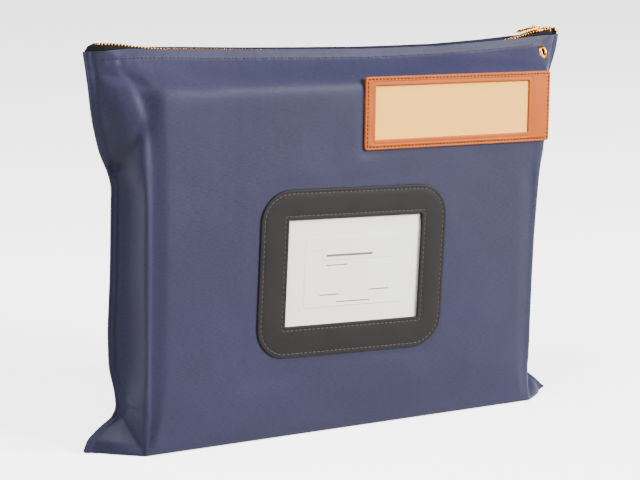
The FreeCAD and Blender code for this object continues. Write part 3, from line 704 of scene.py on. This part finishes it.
def on_wall(across, level, lift=0.0, grid=None, normals=None):
    """A point at this place and level of the front wall's face, lifted outwards, and the normal."""
    grid = front if grid is None else grid
    normals = front_normals if normals is None else normals
    row = np.clip(np.searchsorted(LEVELS, level) - 1, 0, len(LEVELS) - 2)
    part = (level - LEVELS[row]) / (LEVELS[row + 1] - LEVELS[row])
    spot, facing = np.zeros(3), np.zeros(3)
    for r, weight in ((row, 1 - part), (row + 1, part)):
        xs = grid[r, :, 0]
        for axis in range(3):
            spot[axis] += weight * np.interp(across, xs, grid[r, :, axis])
            facing[axis] += weight * np.interp(across, xs, normals[r, :, axis])
    facing = facing / np.linalg.norm(facing)
    return spot + facing * lift, facing


def on_back(across, level, lift=0.0):
    spot, facing = on_wall(across, level, lift, back, back_normals)
    return spot * (1, -1, 1), facing * (1, -1, 1)


EYELET_CUT = 4.7


def quads_to_keep(grid, with_window):
    """Grid quads that stay: all but the address window's cut and the eyelet hole."""
    middle = (grid[:-1, :-1] + grid[1:, :-1] + grid[:-1, 1:] + grid[1:, 1:]) / 4
    keep = np.ones(middle.shape[:2], bool)
    away = np.hypot(grid[..., 0] - eyelet_x, grid[..., 2] - eyelet_z)
    corners = [away[:-1, :-1], away[:-1, 1:], away[1:, :-1], away[1:, 1:]]
    keep &= ~(np.max(corners, 0) < EYELET_CUT)
    if with_window:
        keep &= ~((np.abs(middle[..., 0] - 1) < 64) & (np.abs(middle[..., 2] - window_z) < 46))
    return keep


def blend_side(piece):
    """Bake the piece's placement into its mesh; it is not attached to any body here."""
    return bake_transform(piece)


def ride_side(piece, side):
    """Bake the piece's placement into its mesh when a side is given, or ride with the bag when side is 0."""
    if side:
        blend_side(piece)
    else:
        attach(piece, "bag")


front_uv, back_uv = cloth_coordinates(front), cloth_coordinates(back)
front_keep, back_keep = quads_to_keep(front, True), quads_to_keep(back, False)
last = front.shape[1] - 1
for label, side, columns in (("left", -1, (0, CENTRE)), ("right", 1, (CENTRE, last))):
    half = wall_piece("front_wall_fabric_" + label, front, front_normals, front_uv, columns,
                      front_keep, False)
    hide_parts("front_panel")
    blend_side(half)
back_piece = wall_piece("back_wall_fabric", back, back_normals, back_uv, (0, last), back_keep, True)
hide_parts("back_panel")
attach(back_piece, "bag")


# ---------------------------------------------------------------- base gusset

def base_piece():
    """The bottom cloth between the two lower edges, ears included, lifted a little off the floor."""
    strips = 9
    inset = 0.5
    front_edge, back_edge = front[0].copy(), back[0].copy() * (1, -1, 1)
    points = []
    for layer in (0.9, 0.1):
        for c in range(len(front_edge)):
            a, b = front_edge[c], back_edge[c]
            for k in range(strips):
                t = k / (strips - 1)
                y = (a[1] + inset) * (1 - t) + (b[1] - inset) * t
                x = a[0] * (1 - t) + b[0] * t
                x = x * (1 - 0.004)
                swell = 0.25 * math.sin(math.pi * t) * (1 + math.sin(x / 31.0))
                points.append((x, y, layer + swell))
    count = len(front_edge) * strips
    faces = []
    for c in range(len(front_edge) - 1):
        for k in range(strips - 1):
            i = c * strips + k
            quad = (i, i + strips, i + strips + 1, i + 1)
            faces.append(quad)
            faces.append(tuple(j + count for j in reversed(quad)))
    loop = [c * strips for c in range(len(front_edge))]
    loop += [(len(front_edge) - 1) * strips + k for k in range(1, strips)]
    loop += [c * strips + strips - 1 for c in range(len(front_edge) - 2, -1, -1)]
    loop += [k for k in range(strips - 2, 0, -1)]
    for i, j in zip(loop, loop[1:] + loop[:1]):
        faces.append((i + count, j + count, j, i))
    points = np.array(points)
    piece = make_piece("base_gusset_fabric", points, faces, NYLON, points[:, :2] * MM)
    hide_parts("base_gusset")
    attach(piece, "bag")


base_piece()


def seam_binding(name, column, side):
    """The turned and bound edge of a side seam, from the ear's tip to the hem."""
    path = (front[:, column] + back[:, column] * (1, -1, 1)) / 2
    path[:, 0] += side * 0.1
    path[0, 2] += 0.9
    heading = np.gradient(path, axis=0)
    heading /= np.linalg.norm(heading, axis=1, keepdims=True)
    outward = np.cross(heading, (0, 1, 0))
    around = 12
    points = []
    for spot, out in zip(path, outward):
        for k in range(around):
            angle = 2 * math.pi * k / around
            points.append(spot + out * 0.85 * math.cos(angle) + np.array([0, 1.5 * math.sin(angle), 0]))
    faces = ring_faces(len(path), around, closed_rows=False)
    faces.append(tuple(range(around)))
    faces.append(tuple((len(path) - 1) * around + k for k in range(around)))
    points = np.array(points)
    piece = make_piece(name, points, faces, NYLON, points[:, [1, 2]] * MM)
    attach(piece, "bag")


seam_binding("side_seam_binding_left", 0, -1)
seam_binding("side_seam_binding_right", last, 1)


# ---------------------------------------------------------------- zip

# how far the visible chain stands above the hem; it is level only near the slider's rest place
CHAIN_RISE = np.array([(-210, 4.2), (-203, 4.2), (-190, 3.2), (-170, 0.0), (-150, -1.5), (-60, -2.1),
                       (30, -3.2), (150, -3.4), (168, -1.4), (178, 1.4), (188, 2.6), (197, 4.2),
                       (210, 5.2)])


def hem_level(across):
    return hem_top + np.interp(across, HEM_SAG[:, 0], HEM_SAG[:, 1])


CHAIN_X = np.linspace(-210, 210, 421)
CHAIN_Z = soften(hem_level(CHAIN_X) + np.interp(CHAIN_X, CHAIN_RISE[:, 0], CHAIN_RISE[:, 1]), 0, 60)
CHAIN_Z += (tape_middle - np.interp(slider_x, CHAIN_X, CHAIN_Z)) * bell(CHAIN_X, slider_x, 25)


def chain_level(across):
    return float(np.interp(across, CHAIN_X, CHAIN_Z))


def row_spread(across):
    """How far a row stands back from the closed line: closed left of the slider, open to its right."""
    return 1.5 * float(np.clip((across - 184) / 6, 0, 1))


def tape_profile(across, way):
    """Tape section from the teeth outwards and down inside the hem; way is -1 for the front."""
    top, hem = chain_level(across), float(hem_level(across))
    end = smoothstep((abs(across) - 188) / 16)
    top -= (4.0 if across < 0 else 1.6) * max(0.0, (abs(across) - 203.5) / 5.0) ** 2
    inside = min(6.0, inner_half_depth(across) - 0.25)
    gap = min(0.95 + row_spread(across), inside - 0.5)
    cord = min(1.05, 0.45 * (inside - gap))
    foot = hem - 12.5 + 10.5 * end
    outer = [(gap, top), (gap + 0.25 * cord, top + 0.7 * cord), (gap + 0.95 * cord, top + cord),
             (gap + 1.6 * cord, top + 0.75 * cord), (gap + 1.95 * cord, top + 0.25),
             (max(inside - 0.5, gap + 2.1 * cord), top - 0.1), (inside, min(top, hem) - 1.0),
             (inside, min(top, hem) - 1.8), (inside, foot)]
    inner = [(gap + 0.25 * cord, top - 0.7 * cord), (gap + 0.95 * cord, top - cord),
             (gap + 1.6 * cord, top - 0.9), (max(inside - 1.1, gap + 1.7 * cord), top - 0.95),
             (inside - 0.6, min(top, hem) - 1.9), (inside - 0.6, foot)]
    return [(across, way * y, z) for y, z in outer + inner[::-1]]


def inner_half_depth(across):
    """Room between the middle plane and the inside of the walls where the tape hangs."""
    levels = (hem_top - 0.3, hem_top - 6)
    return min(-on_wall(across, level)[0][1] - FABRIC - 0.15 for level in levels)


def tape_piece(name, node, way, start, end, side):
    stations = np.linspace(start, end, max(int((end - start) / 2), 2))
    rings = [tape_profile(x, way) for x in stations]
    columns = len(rings[0])
    points = np.array([p for ring in rings for p in ring])
    faces = ring_faces(len(rings), columns, closed_rows=False)
    faces.append(tuple(range(columns))[::-1])
    faces.append(tuple((len(rings) - 1) * columns + i for i in range(columns)))
    if way > 0:
        faces = [tuple(reversed(face)) for face in faces]
    piece = sharpen(make_piece(name, points, faces, TAPE), 50)
    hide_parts(node)
    ride_side(piece, side)


tape_piece("zip_tape_front_left", "zip_tape_front", -1, -209.5, 0, -1)
tape_piece("zip_tape_front_right", "zip_tape_front", -1, 0, 208.5, 1)
tape_piece("zip_tape_back_weave", "zip_tape_back", 1, -209.5, 208.5, 0)

TOOTH_PITCH = 2.6
CHAIN_START, CHAIN_END = -196, 203


def tooth_parts():
    """One front-row tooth: a narrowing head over the chain line and a clip round the tape's cord."""
    head, head_faces = bevelled_box((1.2, 1.9, 1.7), 0.3)
    head[:, 1] += -0.3
    narrow = 1 - 0.28 * np.clip((head[:, 1] + 0.1) / 0.7, 0, 1)
    head[:, 0] *= narrow
    clip, clip_faces = bevelled_box((1.25, 2.1, 2.9), 0.4, 3)
    clip[:, 1] += -1.85
    return [(head, head_faces), (clip, clip_faces)]


TOOTH = tooth_parts()


def teeth_piece(name, node, way, shift, low, high, side):
    shell = Shell()
    count = int((CHAIN_END - CHAIN_START) / TOOTH_PITCH)
    for i in range(count):
        x = CHAIN_START + (i + shift) * TOOTH_PITCH
        if not low <= x < high:
            continue
        tilt = 0.5 * (chain_level(x + 1) - chain_level(x - 1))
        centre = np.array([x, 0, chain_level(x)])
        wobble = 0.05 * math.sin(i * 2.3)
        for points, faces in TOOTH:
            local = points.copy()
            local[:, 1] -= row_spread(x)
            local[:, 2] += local[:, 0] * tilt + wobble
            if way > 0:
                local = local * (1, -1, 1)
                faces = [tuple(reversed(face)) for face in faces]
            shell.add(local + centre, faces)
    piece = sharpen(shell.piece(name, ZIP_BRASS, "zip_brass"), 40)
    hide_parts(node)
    ride_side(piece, side)


teeth_piece("zip_teeth_front_left", "zip_teeth_front", -1, 0.0, -200, 0, -1)
teeth_piece("zip_teeth_front_right", "zip_teeth_front", -1, 0.0, 0, 210, 1)
teeth_piece("zip_teeth_back_row", "zip_teeth_back", 1, 0.5, -200, 210, 0)


def stop_piece(name, node, x, size, offset, droop, side):
    """A pressed stop: a rounded clip over the tape with a pinched waist."""
    points, faces = bevelled_box(size, 0.45, 3)
    waist = 1 - 0.18 * bell(points[:, 0], 0, size[0] * 0.22)
    points[:, 2] *= waist
    turned = points.copy()
    turned[:, 2] -= np.clip(points[:, 0] + size[0] / 2, 0, None) * math.tan(droop)
    turned += (x, offset, chain_level(x))
    piece = sharpen(make_piece(name, turned, faces, ZIP_BRASS), 40)
    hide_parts(node)
    ride_side(piece, side)


TOP_STOP_X, TOP_STOP_SIZE, TOP_STOP_OFFSET, TOP_STOP_DROOP = 205.6, (3.6, 2.6, 2.7), 2.9, 0.5
stop_piece("bottom_stop_clip", "zip_bottom_stop", -199.0, (3.4, 5.0, 2.9), 0.0, 0.0, 0)
for label, way, side in (("front", -1, 1), ("back", 1, 0)):
    stop_piece("top_stop_" + label + "_clip", "zip_top_stop_" + label, TOP_STOP_X, TOP_STOP_SIZE,
               way * TOP_STOP_OFFSET, TOP_STOP_DROOP, side)


TAB_BOW, TAB_BOW_START = 0.013, 5.0


def tab_bow(points):
    """The pull tab bows down towards its tip."""
    reach = np.clip(slider_x - TAB_BOW_START - points[:, 0], 0, None)
    points[:, 2] -= TAB_BOW * reach ** 2


def bevelled_copy(name, node, width, material, body, bow=None):
    """The CAD node's shape with its edges rolled over, bent by bow if that is given."""
    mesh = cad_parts[node].data.copy()
    mesh.materials.clear()
    mesh.materials.append(material)
    shape = bmesh.new()
    shape.from_mesh(mesh)
    bmesh.ops.remove_doubles(shape, verts=shape.verts, dist=1e-6)
    bmesh.ops.dissolve_limit(shape, angle_limit=math.radians(2), verts=shape.verts, edges=shape.edges)
    bmesh.ops.recalc_face_normals(shape, faces=shape.faces)
    sharp = [e for e in shape.edges if len(e.link_faces) == 2 and e.calc_face_angle(0) > math.radians(40)]
    bmesh.ops.bevel(shape, geom=sharp, offset=width * MM, segments=3, profile=0.55,
                    affect="EDGES", clamp_overlap=True)
    bmesh.ops.triangulate(shape, faces=[f for f in shape.faces if len(f.verts) > 4])
    shape.to_mesh(mesh)
    shape.free()
    if bow:
        points = np.array([v.co for v in mesh.vertices]) / MM
        bow(points)
        mesh.vertices.foreach_set("co", (points * MM).ravel())
    mesh.polygons.foreach_set("use_smooth", [True] * len(mesh.polygons))
    mesh.name = name
    piece = bpy.data.objects.new(name, mesh)
    bpy.context.scene.collection.objects.link(piece)
    sharpen(piece, 30)
    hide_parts(node)
    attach(piece, body)


bevelled_copy("zip_slider_body", "zip_slider", 0.22, ZIP_BRASS, "slider")
bevelled_copy("zip_pull_plate", "zip_pull_tab", 0.25, ZIP_BRASS, "pull_tab", tab_bow)


# ---------------------------------------------------------------- eyelets

def axis_matrix(spot, facing):
    """Columns: two directions in the surface and the outward normal, then the place."""
    outward = Vector(facing).normalized()
    aside = Vector((1, 0, 0)) - outward * outward.x
    aside.normalize()
    upward = outward.cross(aside)
    matrix = Matrix((aside, upward, outward)).transposed().to_4x4()
    matrix.translation = Vector(spot)
    return matrix


def turned_points(profile, matrix, steps=40):
    """Points of a closed profile (radius, height) turned about the local third axis."""
    points = []
    for radius, height in profile:
        for k in range(steps):
            angle = 2 * math.pi * k / steps
            local = Vector((radius * math.cos(angle), radius * math.sin(angle), height))
            points.append(tuple(matrix @ local))
    return np.array(points)


def eyelet_piece(name, nodes, place, side):
    """Rolled front ring on a thin washer, a short barrel, and the clenched ring inside."""
    matrix = axis_matrix(*place)
    ring = [(2.5, -1.2), (2.5, 0.2), (2.6, 0.75), (2.95, 1.2), (3.5, 1.4), (4.1, 1.25), (4.55, 0.85),
            (4.75, 0.4), (4.8, 0.12), (5.0, 0.3), (5.3, 0.28), (5.45, 0.05), (5.4, -0.05), (3.15, -0.1),
            (3.05, -0.9), (3.1, -1.0), (4.4, -0.95), (4.65, -1.1), (4.5, -1.35), (3.6, -1.5), (2.7, -1.45)]
    steps = 40
    points = turned_points(ring, matrix, steps)
    faces = [tuple(reversed(face)) for face in ring_faces(len(ring), steps)]
    piece = make_piece(name, points, faces, EYELET_BRASS)
    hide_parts(*nodes)
    ride_side(piece, side)


EYELET_LIFT = 0.05
eyelet_piece("front_seal_eyelet_ring", ("front_eyelet", "front_eyelet_washer"),
             on_wall(eyelet_x, eyelet_z, EYELET_LIFT), 1)
eyelet_piece("back_seal_eyelet_ring", ("back_eyelet", "back_eyelet_washer"),
             on_back(eyelet_x, eyelet_z, EYELET_LIFT), 0)


# ---------------------------------------------------------------- sewn frames, films and cards

def rounded_path(width, height, radius, per_side=36, per_corner=12):
    """Points round a rectangle centred on the origin, anticlockwise from the lower right corner."""
    radius = max(radius, 0.01)
    x, y = width / 2 - radius, height / 2 - radius
    corners = [(x, -y, -90), (x, y, 0), (-x, y, 90), (-x, -y, 180)]
    path = []
    for number, (cx, cy, start) in enumerate(corners):
        for k in range(per_corner + 1):
            angle = math.radians(start + 90 * k / per_corner)
            path.append((cx + radius * math.cos(angle), cy + radius * math.sin(angle)))
        end = path[-1]
        nx, ny, nstart = corners[(number + 1) % 4]
        first = (nx + radius * math.cos(math.radians(nstart)), ny + radius * math.sin(math.radians(nstart)))
        for k in range(1, per_side):
            t = k / per_side
            path.append((end[0] * (1 - t) + first[0] * t, end[1] * (1 - t) + first[1] * t))
    return np.array(path)


class Placed:
    """Plane coordinates of a sewn-on group, tilted a little, laid on the front wall."""

    def __init__(self, centre, tilt):
        self.centre = centre
        self.turn = math.radians(tilt)

    def point(self, across, up, lift):
        c, s = math.cos(self.turn), math.sin(self.turn)
        return on_wall(self.centre[0] + c * across - s * up, self.centre[1] + s * across + c * up, lift)


class Firm(Placed):
    """A stiff panel: the plane that best fits the wall under it, moved out until it lies on top."""

    def __init__(self, centre, tilt, half_width, half_rise):
        super().__init__(centre, tilt)
        spots = front.reshape(-1, 3)
        near = (np.abs(spots[:, 0] - centre[0]) < half_width) & (np.abs(spots[:, 2] - centre[1]) < half_rise)
        spots = spots[near & (spots[:, 1] < -20)]
        across = np.stack([np.ones(len(spots)), spots[:, 0], spots[:, 2]], 1)
        self.plane = np.linalg.lstsq(across, spots[:, 1], rcond=None)[0]
        self.plane[0] -= np.max(across @ self.plane - spots[:, 1])
        self.normal = np.array([self.plane[1], -1.0, self.plane[2]])
        self.normal /= np.linalg.norm(self.normal)

    def point(self, across, up, lift):
        c, s = math.cos(self.turn), math.sin(self.turn)
        x, z = self.centre[0] + c * across - s * up, self.centre[1] + s * across + c * up
        y = self.plane @ (1.0, x, z) + 0.9 * smoothstep((x - 150) / 32) ** 2
        return np.array([x, y, z]) + self.normal * lift, self.normal


def frame_rings(outer, inner, gauge, backing, row, sink):
    """Plane paths and lifts from the outer edge over the face to the opening, then underneath."""
    (width, height, radius, ox, oy), (iw, ih, ir, ix, iy) = outer, inner

    def outer_path(inset):
        return rounded_path(width - 2 * inset, height - 2 * inset, radius - inset) + (ox, oy)

    def inner_path(out):
        return rounded_path(iw + 2 * out, ih + 2 * out, ir + out) + (ix, iy)

    top = backing + gauge
    rings = [(outer_path(0.12), sink), (outer_path(0), backing + gauge * 0.45),
             (outer_path(0.12), top - gauge * 0.18), (outer_path(0.45), top - 0.03),
             (outer_path(row * 0.45), top + 0.05), (outer_path(row - 0.55), top - 0.05),
             (outer_path(row), top - 0.22), (outer_path(row + 0.55), top - 0.1),
             (outer_path(row + 1.3), top + 0.03)]
    start, end = outer_path(row + 1.3), inner_path(4.6)
    for t in (0.25, 0.5, 0.75):
        rings.append((start * (1 - t) + end * t, top + 0.08 * math.sin(math.pi * t)))
    rings += [(inner_path(4.6), top), (inner_path(3.8), top - 0.12), (inner_path(3.3), top - 0.2),
              (inner_path(2.9), top - 0.16), (inner_path(2.3), top), (inner_path(1.2), top + 0.04),
              (inner_path(0.4), top - 0.04), (inner_path(0.08), top - gauge * 0.3),
              (inner_path(0), backing + gauge * 0.3), (inner_path(0.1), backing * 0.5)]
    return rings


def frame_piece(name, node, place, outer, inner, sizes, material):
    """A leatherette frame; sizes are its gauge, backing, stitch row distance and underside level."""
    rings = frame_rings(outer, inner, *sizes)
    points = np.array([place.point(x, y, lift)[0] for path, lift in rings for x, y in path])
    faces = ring_faces(len(rings), len(rings[0][0]))
    piece = make_piece(name, points, faces, material)
    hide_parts(node)
    return piece


def sheet_piece(name, node, place, box, lift, gauge, material, wave=0.0):
    """A thin closed sheet following the surface it is placed on."""
    left, right, low, high = box
    nx, ny = max(int((right - left) / 5), 2), max(int((high - low) / 5), 2)
    points = []
    for level in (lift, lift - gauge):
        for j in range(ny + 1):
            for i in range(nx + 1):
                x, y = left + (right - left) * i / nx, low + (high - low) * j / ny
                rise = wave * math.sin(x / 17.0 + 1.0) * math.sin(y / 23.0)
                points.append(place.point(x, y, level + rise)[0])
    wide, count = nx + 1, (nx + 1) * (ny + 1)
    faces = []
    for j in range(ny):
        for i in range(nx):
            quad = (j * wide + i, j * wide + i + 1, (j + 1) * wide + i + 1, (j + 1) * wide + i)
            faces.append(quad)
            faces.append(tuple(k + count for k in reversed(quad)))
    rim = [i for i in range(wide)] + [j * wide + nx for j in range(1, ny + 1)]
    rim += [ny * wide + i for i in range(nx - 1, -1, -1)] + [j * wide for j in range(ny - 1, 0, -1)]
    for a, b in zip(rim, rim[1:] + rim[:1]):
        faces.append((b, a, a + count, b + count))
    piece = sharpen(make_piece(name, np.array(points), faces, material), 40)
    if node:
        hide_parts(node)
    return piece


def even_points(path, pitch):
    """Places and headings spaced evenly round a closed path."""
    loop = np.concatenate([path, path[:1]])
    steps = np.linalg.norm(np.diff(loop, axis=0), axis=1)
    length = np.concatenate([[0], np.cumsum(steps)])
    count = int(length[-1] / pitch)
    marks = (np.arange(count) + 0.5) * length[-1] / count
    spots = np.stack([np.interp(marks, length, loop[:, k]) for k in (0, 1)], 1)
    ahead = np.stack([np.interp(marks + 0.3, length, loop[:, k]) for k in (0, 1)], 1)
    behind = np.stack([np.interp(marks - 0.3, length, loop[:, k]) for k in (0, 1)], 1)
    return spots, ahead - behind


def stitch_shape(length, width, height, rings=5, around=8):
    """A small rounded pill of thread along local X, sinking into the cloth at both ends."""
    points, faces = [], []
    for i in range(rings + 1):
        t = i / rings
        swell = math.sin(math.pi * min(max(t, 0.04), 0.96)) ** 0.5
        for k in range(around):
            angle = 2 * math.pi * k / around
            points.append(((t - 0.5) * length, 0.5 * width * swell * math.cos(angle),
                           0.5 * height * swell * math.sin(angle) - 0.25 * height * (2 * t - 1) ** 2))
    for i in range(rings):
        for k in range(around):
            nxt = (k + 1) % around
            faces.append((i * around + k, i * around + nxt, (i + 1) * around + nxt, (i + 1) * around + k))
    faces = [tuple(reversed(face)) for face in faces]
    faces.append(tuple(range(around)))
    faces.append(tuple(rings * around + k for k in reversed(range(around))))
    return np.array(points), faces


def stitches_piece(name, node, placer, spots, headings, lift, size, material, slot):
    """Stitches at plane places, each laid in the surface along its heading."""
    shape, faces = stitch_shape(*size)
    shell = Shell()
    for i, (spot, heading) in enumerate(zip(spots, headings)):
        heading = heading / max(np.linalg.norm(heading), 1e-9)
        centre, facing = placer(spot[0], spot[1], lift)
        ahead = placer(spot[0] + 0.4 * heading[0], spot[1] + 0.4 * heading[1], lift)[0]
        along = ahead - centre
        along /= np.linalg.norm(along)
        beside = np.cross(facing, along)
        jitter = 1 + 0.08 * math.sin(i * 5.1)
        local = shape[:, :1] * along * jitter + shape[:, 1:2] * beside + shape[:, 2:] * facing
        shell.add(local + centre, faces)
    piece = shell.piece(name, material, slot)
    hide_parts(node)
    return piece


# address window: frame, film, card and lining ride with the front wall
WINDOW = Placed((0.6, window_z + 0.3), -1.7)
window_outer = (165.0, 130.0, 25.0, 0.0, 0.0)
window_inner = (118.0, 82.0, 0.8, 0.6, 0.6)
window_frame = frame_piece("window_frame_leather", "window_frame", WINDOW, window_outer, window_inner,
                           (1.3, 0.0, 3.3, 0.05), BLACK)
film = sheet_piece("window_film_sheet", "window_film", WINDOW, (-63.5, 64.5, -45.5, 46.5), -0.35, 0.25,
                   FILM, 0.1)
card = sheet_piece("address_card_sheet", "address_card", WINDOW, (-63.2, 64.2, -45.2, 46.2), -0.95, 0.3,
                   WHITE)
lining = sheet_piece("card_pocket_sheet", "card_pocket_lining", WINDOW, (-72.5, 73.5, -54, 55), -1.9, 0.5,
                     LINING)
small_card = sheet_piece("visiting_card_sheet", None, WINDOW, (-42.5, 44.5, -27.5, 27.0), -0.7, 0.18,
                         WHITE)
WINDOW_PATHS = {"outer": rounded_path(165 - 6.4, 130 - 6.4, 21.8),
                "inner": rounded_path(118 + 6.4, 82 + 6.4, 2.5) + (0.6, 0.6)}
window_rows = [stitches_piece("window_" + label + "_stitches", "window_" + label + "_stitching",
                              WINDOW.point, *even_points(path, 3.8), 1.22, (2.7, 0.62, 0.5),
                              GREY_THREAD, "grey_thread")
               for label, path in WINDOW_PATHS.items()]


def ruled_lines(name, place, lines, lift):
    """Thin raised print: generic bars instead of lettering; each is (left, right, level, height)."""
    shell = Shell()
    for left, right, level, height in lines:
        steps = max(int((right - left) / 4), 1)
        points = []
        for k in range(steps + 1):
            x = left + (right - left) * k / steps
            for up, rise in ((-height / 2, 0), (height / 2, 0), (height / 2, 0.05), (-height / 2, 0.05)):
                points.append(place.point(x, level + up, lift + rise)[0])
        faces = []
        for k in range(steps):
            for c in range(4):
                n = (c + 1) % 4
                faces.append((k * 4 + c, k * 4 + n, k * 4 + 4 + n, k * 4 + 4 + c))
        faces = [tuple(reversed(face)) for face in faces]
        faces += [(0, 1, 2, 3), tuple(steps * 4 + c for c in (3, 2, 1, 0))]
        shell.add(points, faces)
    return shell.piece(name, INK, "white_card", smooth=False)


CARD_LINES = [(-24, 17, 12.5, 1.7), (-24, -5, 5.0, 0.8), (-29, -12, -18.0, 0.8), (15, 33, -16.0, 0.8),
              (-14, 16, -24.0, 0.8), (-27, 38, 9.0, 0.15), (-36, -28, 17.0, 0.2), (-42.2, 44.2, -27.2, 0.15)]
prints = ruled_lines("card_ruled_lines", WINDOW, CARD_LINES, -0.69)
for piece in (window_frame, film, card, lining, small_card, *window_rows, prints):
    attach(piece, "front_wall")

# tan label: frame, film, card and stitches on the right half of the front wall, their placement baked into
# their meshes
LABEL_WIDTH, LABEL_RISE = 173.5, 56.0
LABEL = Firm((label_low[0] + LABEL_WIDTH / 2, (label_low[2] + label_high[2]) / 2 - 0.1), -0.65,
             LABEL_WIDTH / 2 - 4, LABEL_RISE / 2 - 3)
label_outer = (LABEL_WIDTH, LABEL_RISE, 2.2, 0.0, 0.0)
label_inner = (143.0, 41.0, 0.6, -LABEL_WIDTH / 2 + 9.2 + 71.5, 0.2)
label_frame = frame_piece("label_frame_leather", "label_frame", LABEL, label_outer, label_inner,
                          (1.0, 0.5, 2.0, -1.2), TAN)
cx = label_inner[3]
label_film = sheet_piece("label_film_sheet", "label_film", LABEL, (cx - 75, cx + 75, -24, 24.4), 0.62, 0.2,
                         FILM, 0.05)
label_card = sheet_piece("label_card_sheet", "label_card", LABEL, (cx - 74.5, cx + 74.5, -23.5, 24),
                         0.36, 0.3, YELLOW)
label_spots = even_points(rounded_path(LABEL_WIDTH - 4.2, LABEL_RISE - 4.2, 1.2), 3.2)
label_row = stitches_piece("label_stitches", "label_stitching", LABEL.point, *label_spots,
                           1.46, (2.3, 0.85, 0.6), BROWN_THREAD, "brown_thread")
for piece in (label_frame, label_film, label_card, label_row):
    blend_side(piece)


# ---------------------------------------------------------------- hem stitching

def hem_run(low, high):
    marks = np.arange(low + 1.6, high - 1.0, 3.2)
    spots = np.stack([marks, np.full(len(marks), HEM_LINE)], 1)
    return spots, np.tile([1.0, 0.0], (len(marks), 1))


for label, side, low, high in (("left", -1, -198.0, 0.0), ("right", 1, 0.0, 180.0)):
    row = stitches_piece("front_hem_stitches_" + label, "front_hem_stitching", on_wall, *hem_run(low, high),
                         0.0, HEM_STITCH, NAVY_THREAD, "navy_thread")
    blend_side(row)
back_row = stitches_piece("back_hem_stitches", "back_hem_stitching", on_back, *hem_run(-198.0, 180.0),
                          0.0, HEM_STITCH, NAVY_THREAD, "navy_thread")
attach(back_row, "bag")


# ---------------------------------------------------------------- floor, light and camera

def stage_floor():
    """A flat pale floor that reaches far past the object on every side."""
    reach = 30.0
    mesh = bpy.data.meshes.new("floor")
    corners = [(-reach, -reach, 0), (reach, -reach, 0), (reach, reach, 0), (-reach, reach, 0)]
    mesh.from_pydata(corners, [], [(0, 1, 2, 3)])
    material = matte("floor_white", (0.9, 0.9, 0.9))
    shader = shader_of(material.node_tree.nodes)
    shader.inputs["Emission Color"].default_value = (1, 1, 1, 1)
    shader.inputs["Emission Strength"].default_value = 2.4
    mesh.materials.append(material)
    mesh.polygons.foreach_set("use_smooth", [True] * len(mesh.polygons))
    floor = bpy.data.objects.new("floor", mesh)
    floor.location.z = -0.0004
    floor.visible_diffuse = False
    bpy.context.scene.collection.objects.link(floor)


def area_light(name, place, target, size, power):
    light = bpy.data.lights.new(name, "AREA")
    light.shape = "RECTANGLE"
    light.size, light.size_y = size
    light.energy = power
    lamp = bpy.data.objects.new(name, light)
    lamp.location = place
    aim = Vector(target) - Vector(place)
    lamp.rotation_euler = aim.to_track_quat("-Z", "Y").to_euler()
    bpy.context.scene.collection.objects.link(lamp)


def world_light(strength):
    world = bpy.data.worlds.new("soft_room")
    world.use_nodes = True
    background = world.node_tree.nodes["Background"]
    background.inputs["Color"].default_value = (1, 1, 1, 1)
    background.inputs["Strength"].default_value = strength
    bpy.context.scene.world = world


def camera_at(place, yaw, pitch, roll, lens):
    """A camera at a place in metres, turned by degrees from looking along +Y."""
    yaw, pitch, roll = (math.radians(a) for a in (yaw, pitch, roll))
    forward = Vector((math.sin(yaw) * math.cos(pitch), math.cos(yaw) * math.cos(pitch), -math.sin(pitch)))
    right = Vector((math.cos(yaw), -math.sin(yaw), 0))
    up = right.cross(forward)
    turned_right = right * math.cos(roll) + up * math.sin(roll)
    turned_up = up * math.cos(roll) - right * math.sin(roll)
    data = bpy.data.cameras.new("camera")
    data.lens = lens
    data.sensor_width = 36.0
    data.clip_end = 50.0
    camera = bpy.data.objects.new("camera", data)
    matrix = Matrix((turned_right, turned_up, -forward)).transposed().to_4x4()
    matrix.translation = Vector(place)
    camera.matrix_world = matrix
    bpy.context.scene.collection.objects.link(camera)
    bpy.context.scene.camera = camera


CAMERA_PLACE = (-0.7728, -1.3174, 0.4490)
CAMERA_LENS = 112.08375

stage_floor()
world_light(0.1)
area_light("key", (2.3, -2.45, 1.6), (0, 0, 0.13), (1.8, 1.5), 560)
area_light("rim", (-1.5, 1.15, 0.75), (-0.15, 0, 0.15), (0.9, 1.1), 26)
area_light("overhead", (-0.95, -0.55, 2.0), (-0.1, 0, 0.1), (0.9, 0.9), 95)
camera_at(CAMERA_PLACE, 30.044, 11.295, 1.130, CAMERA_LENS)
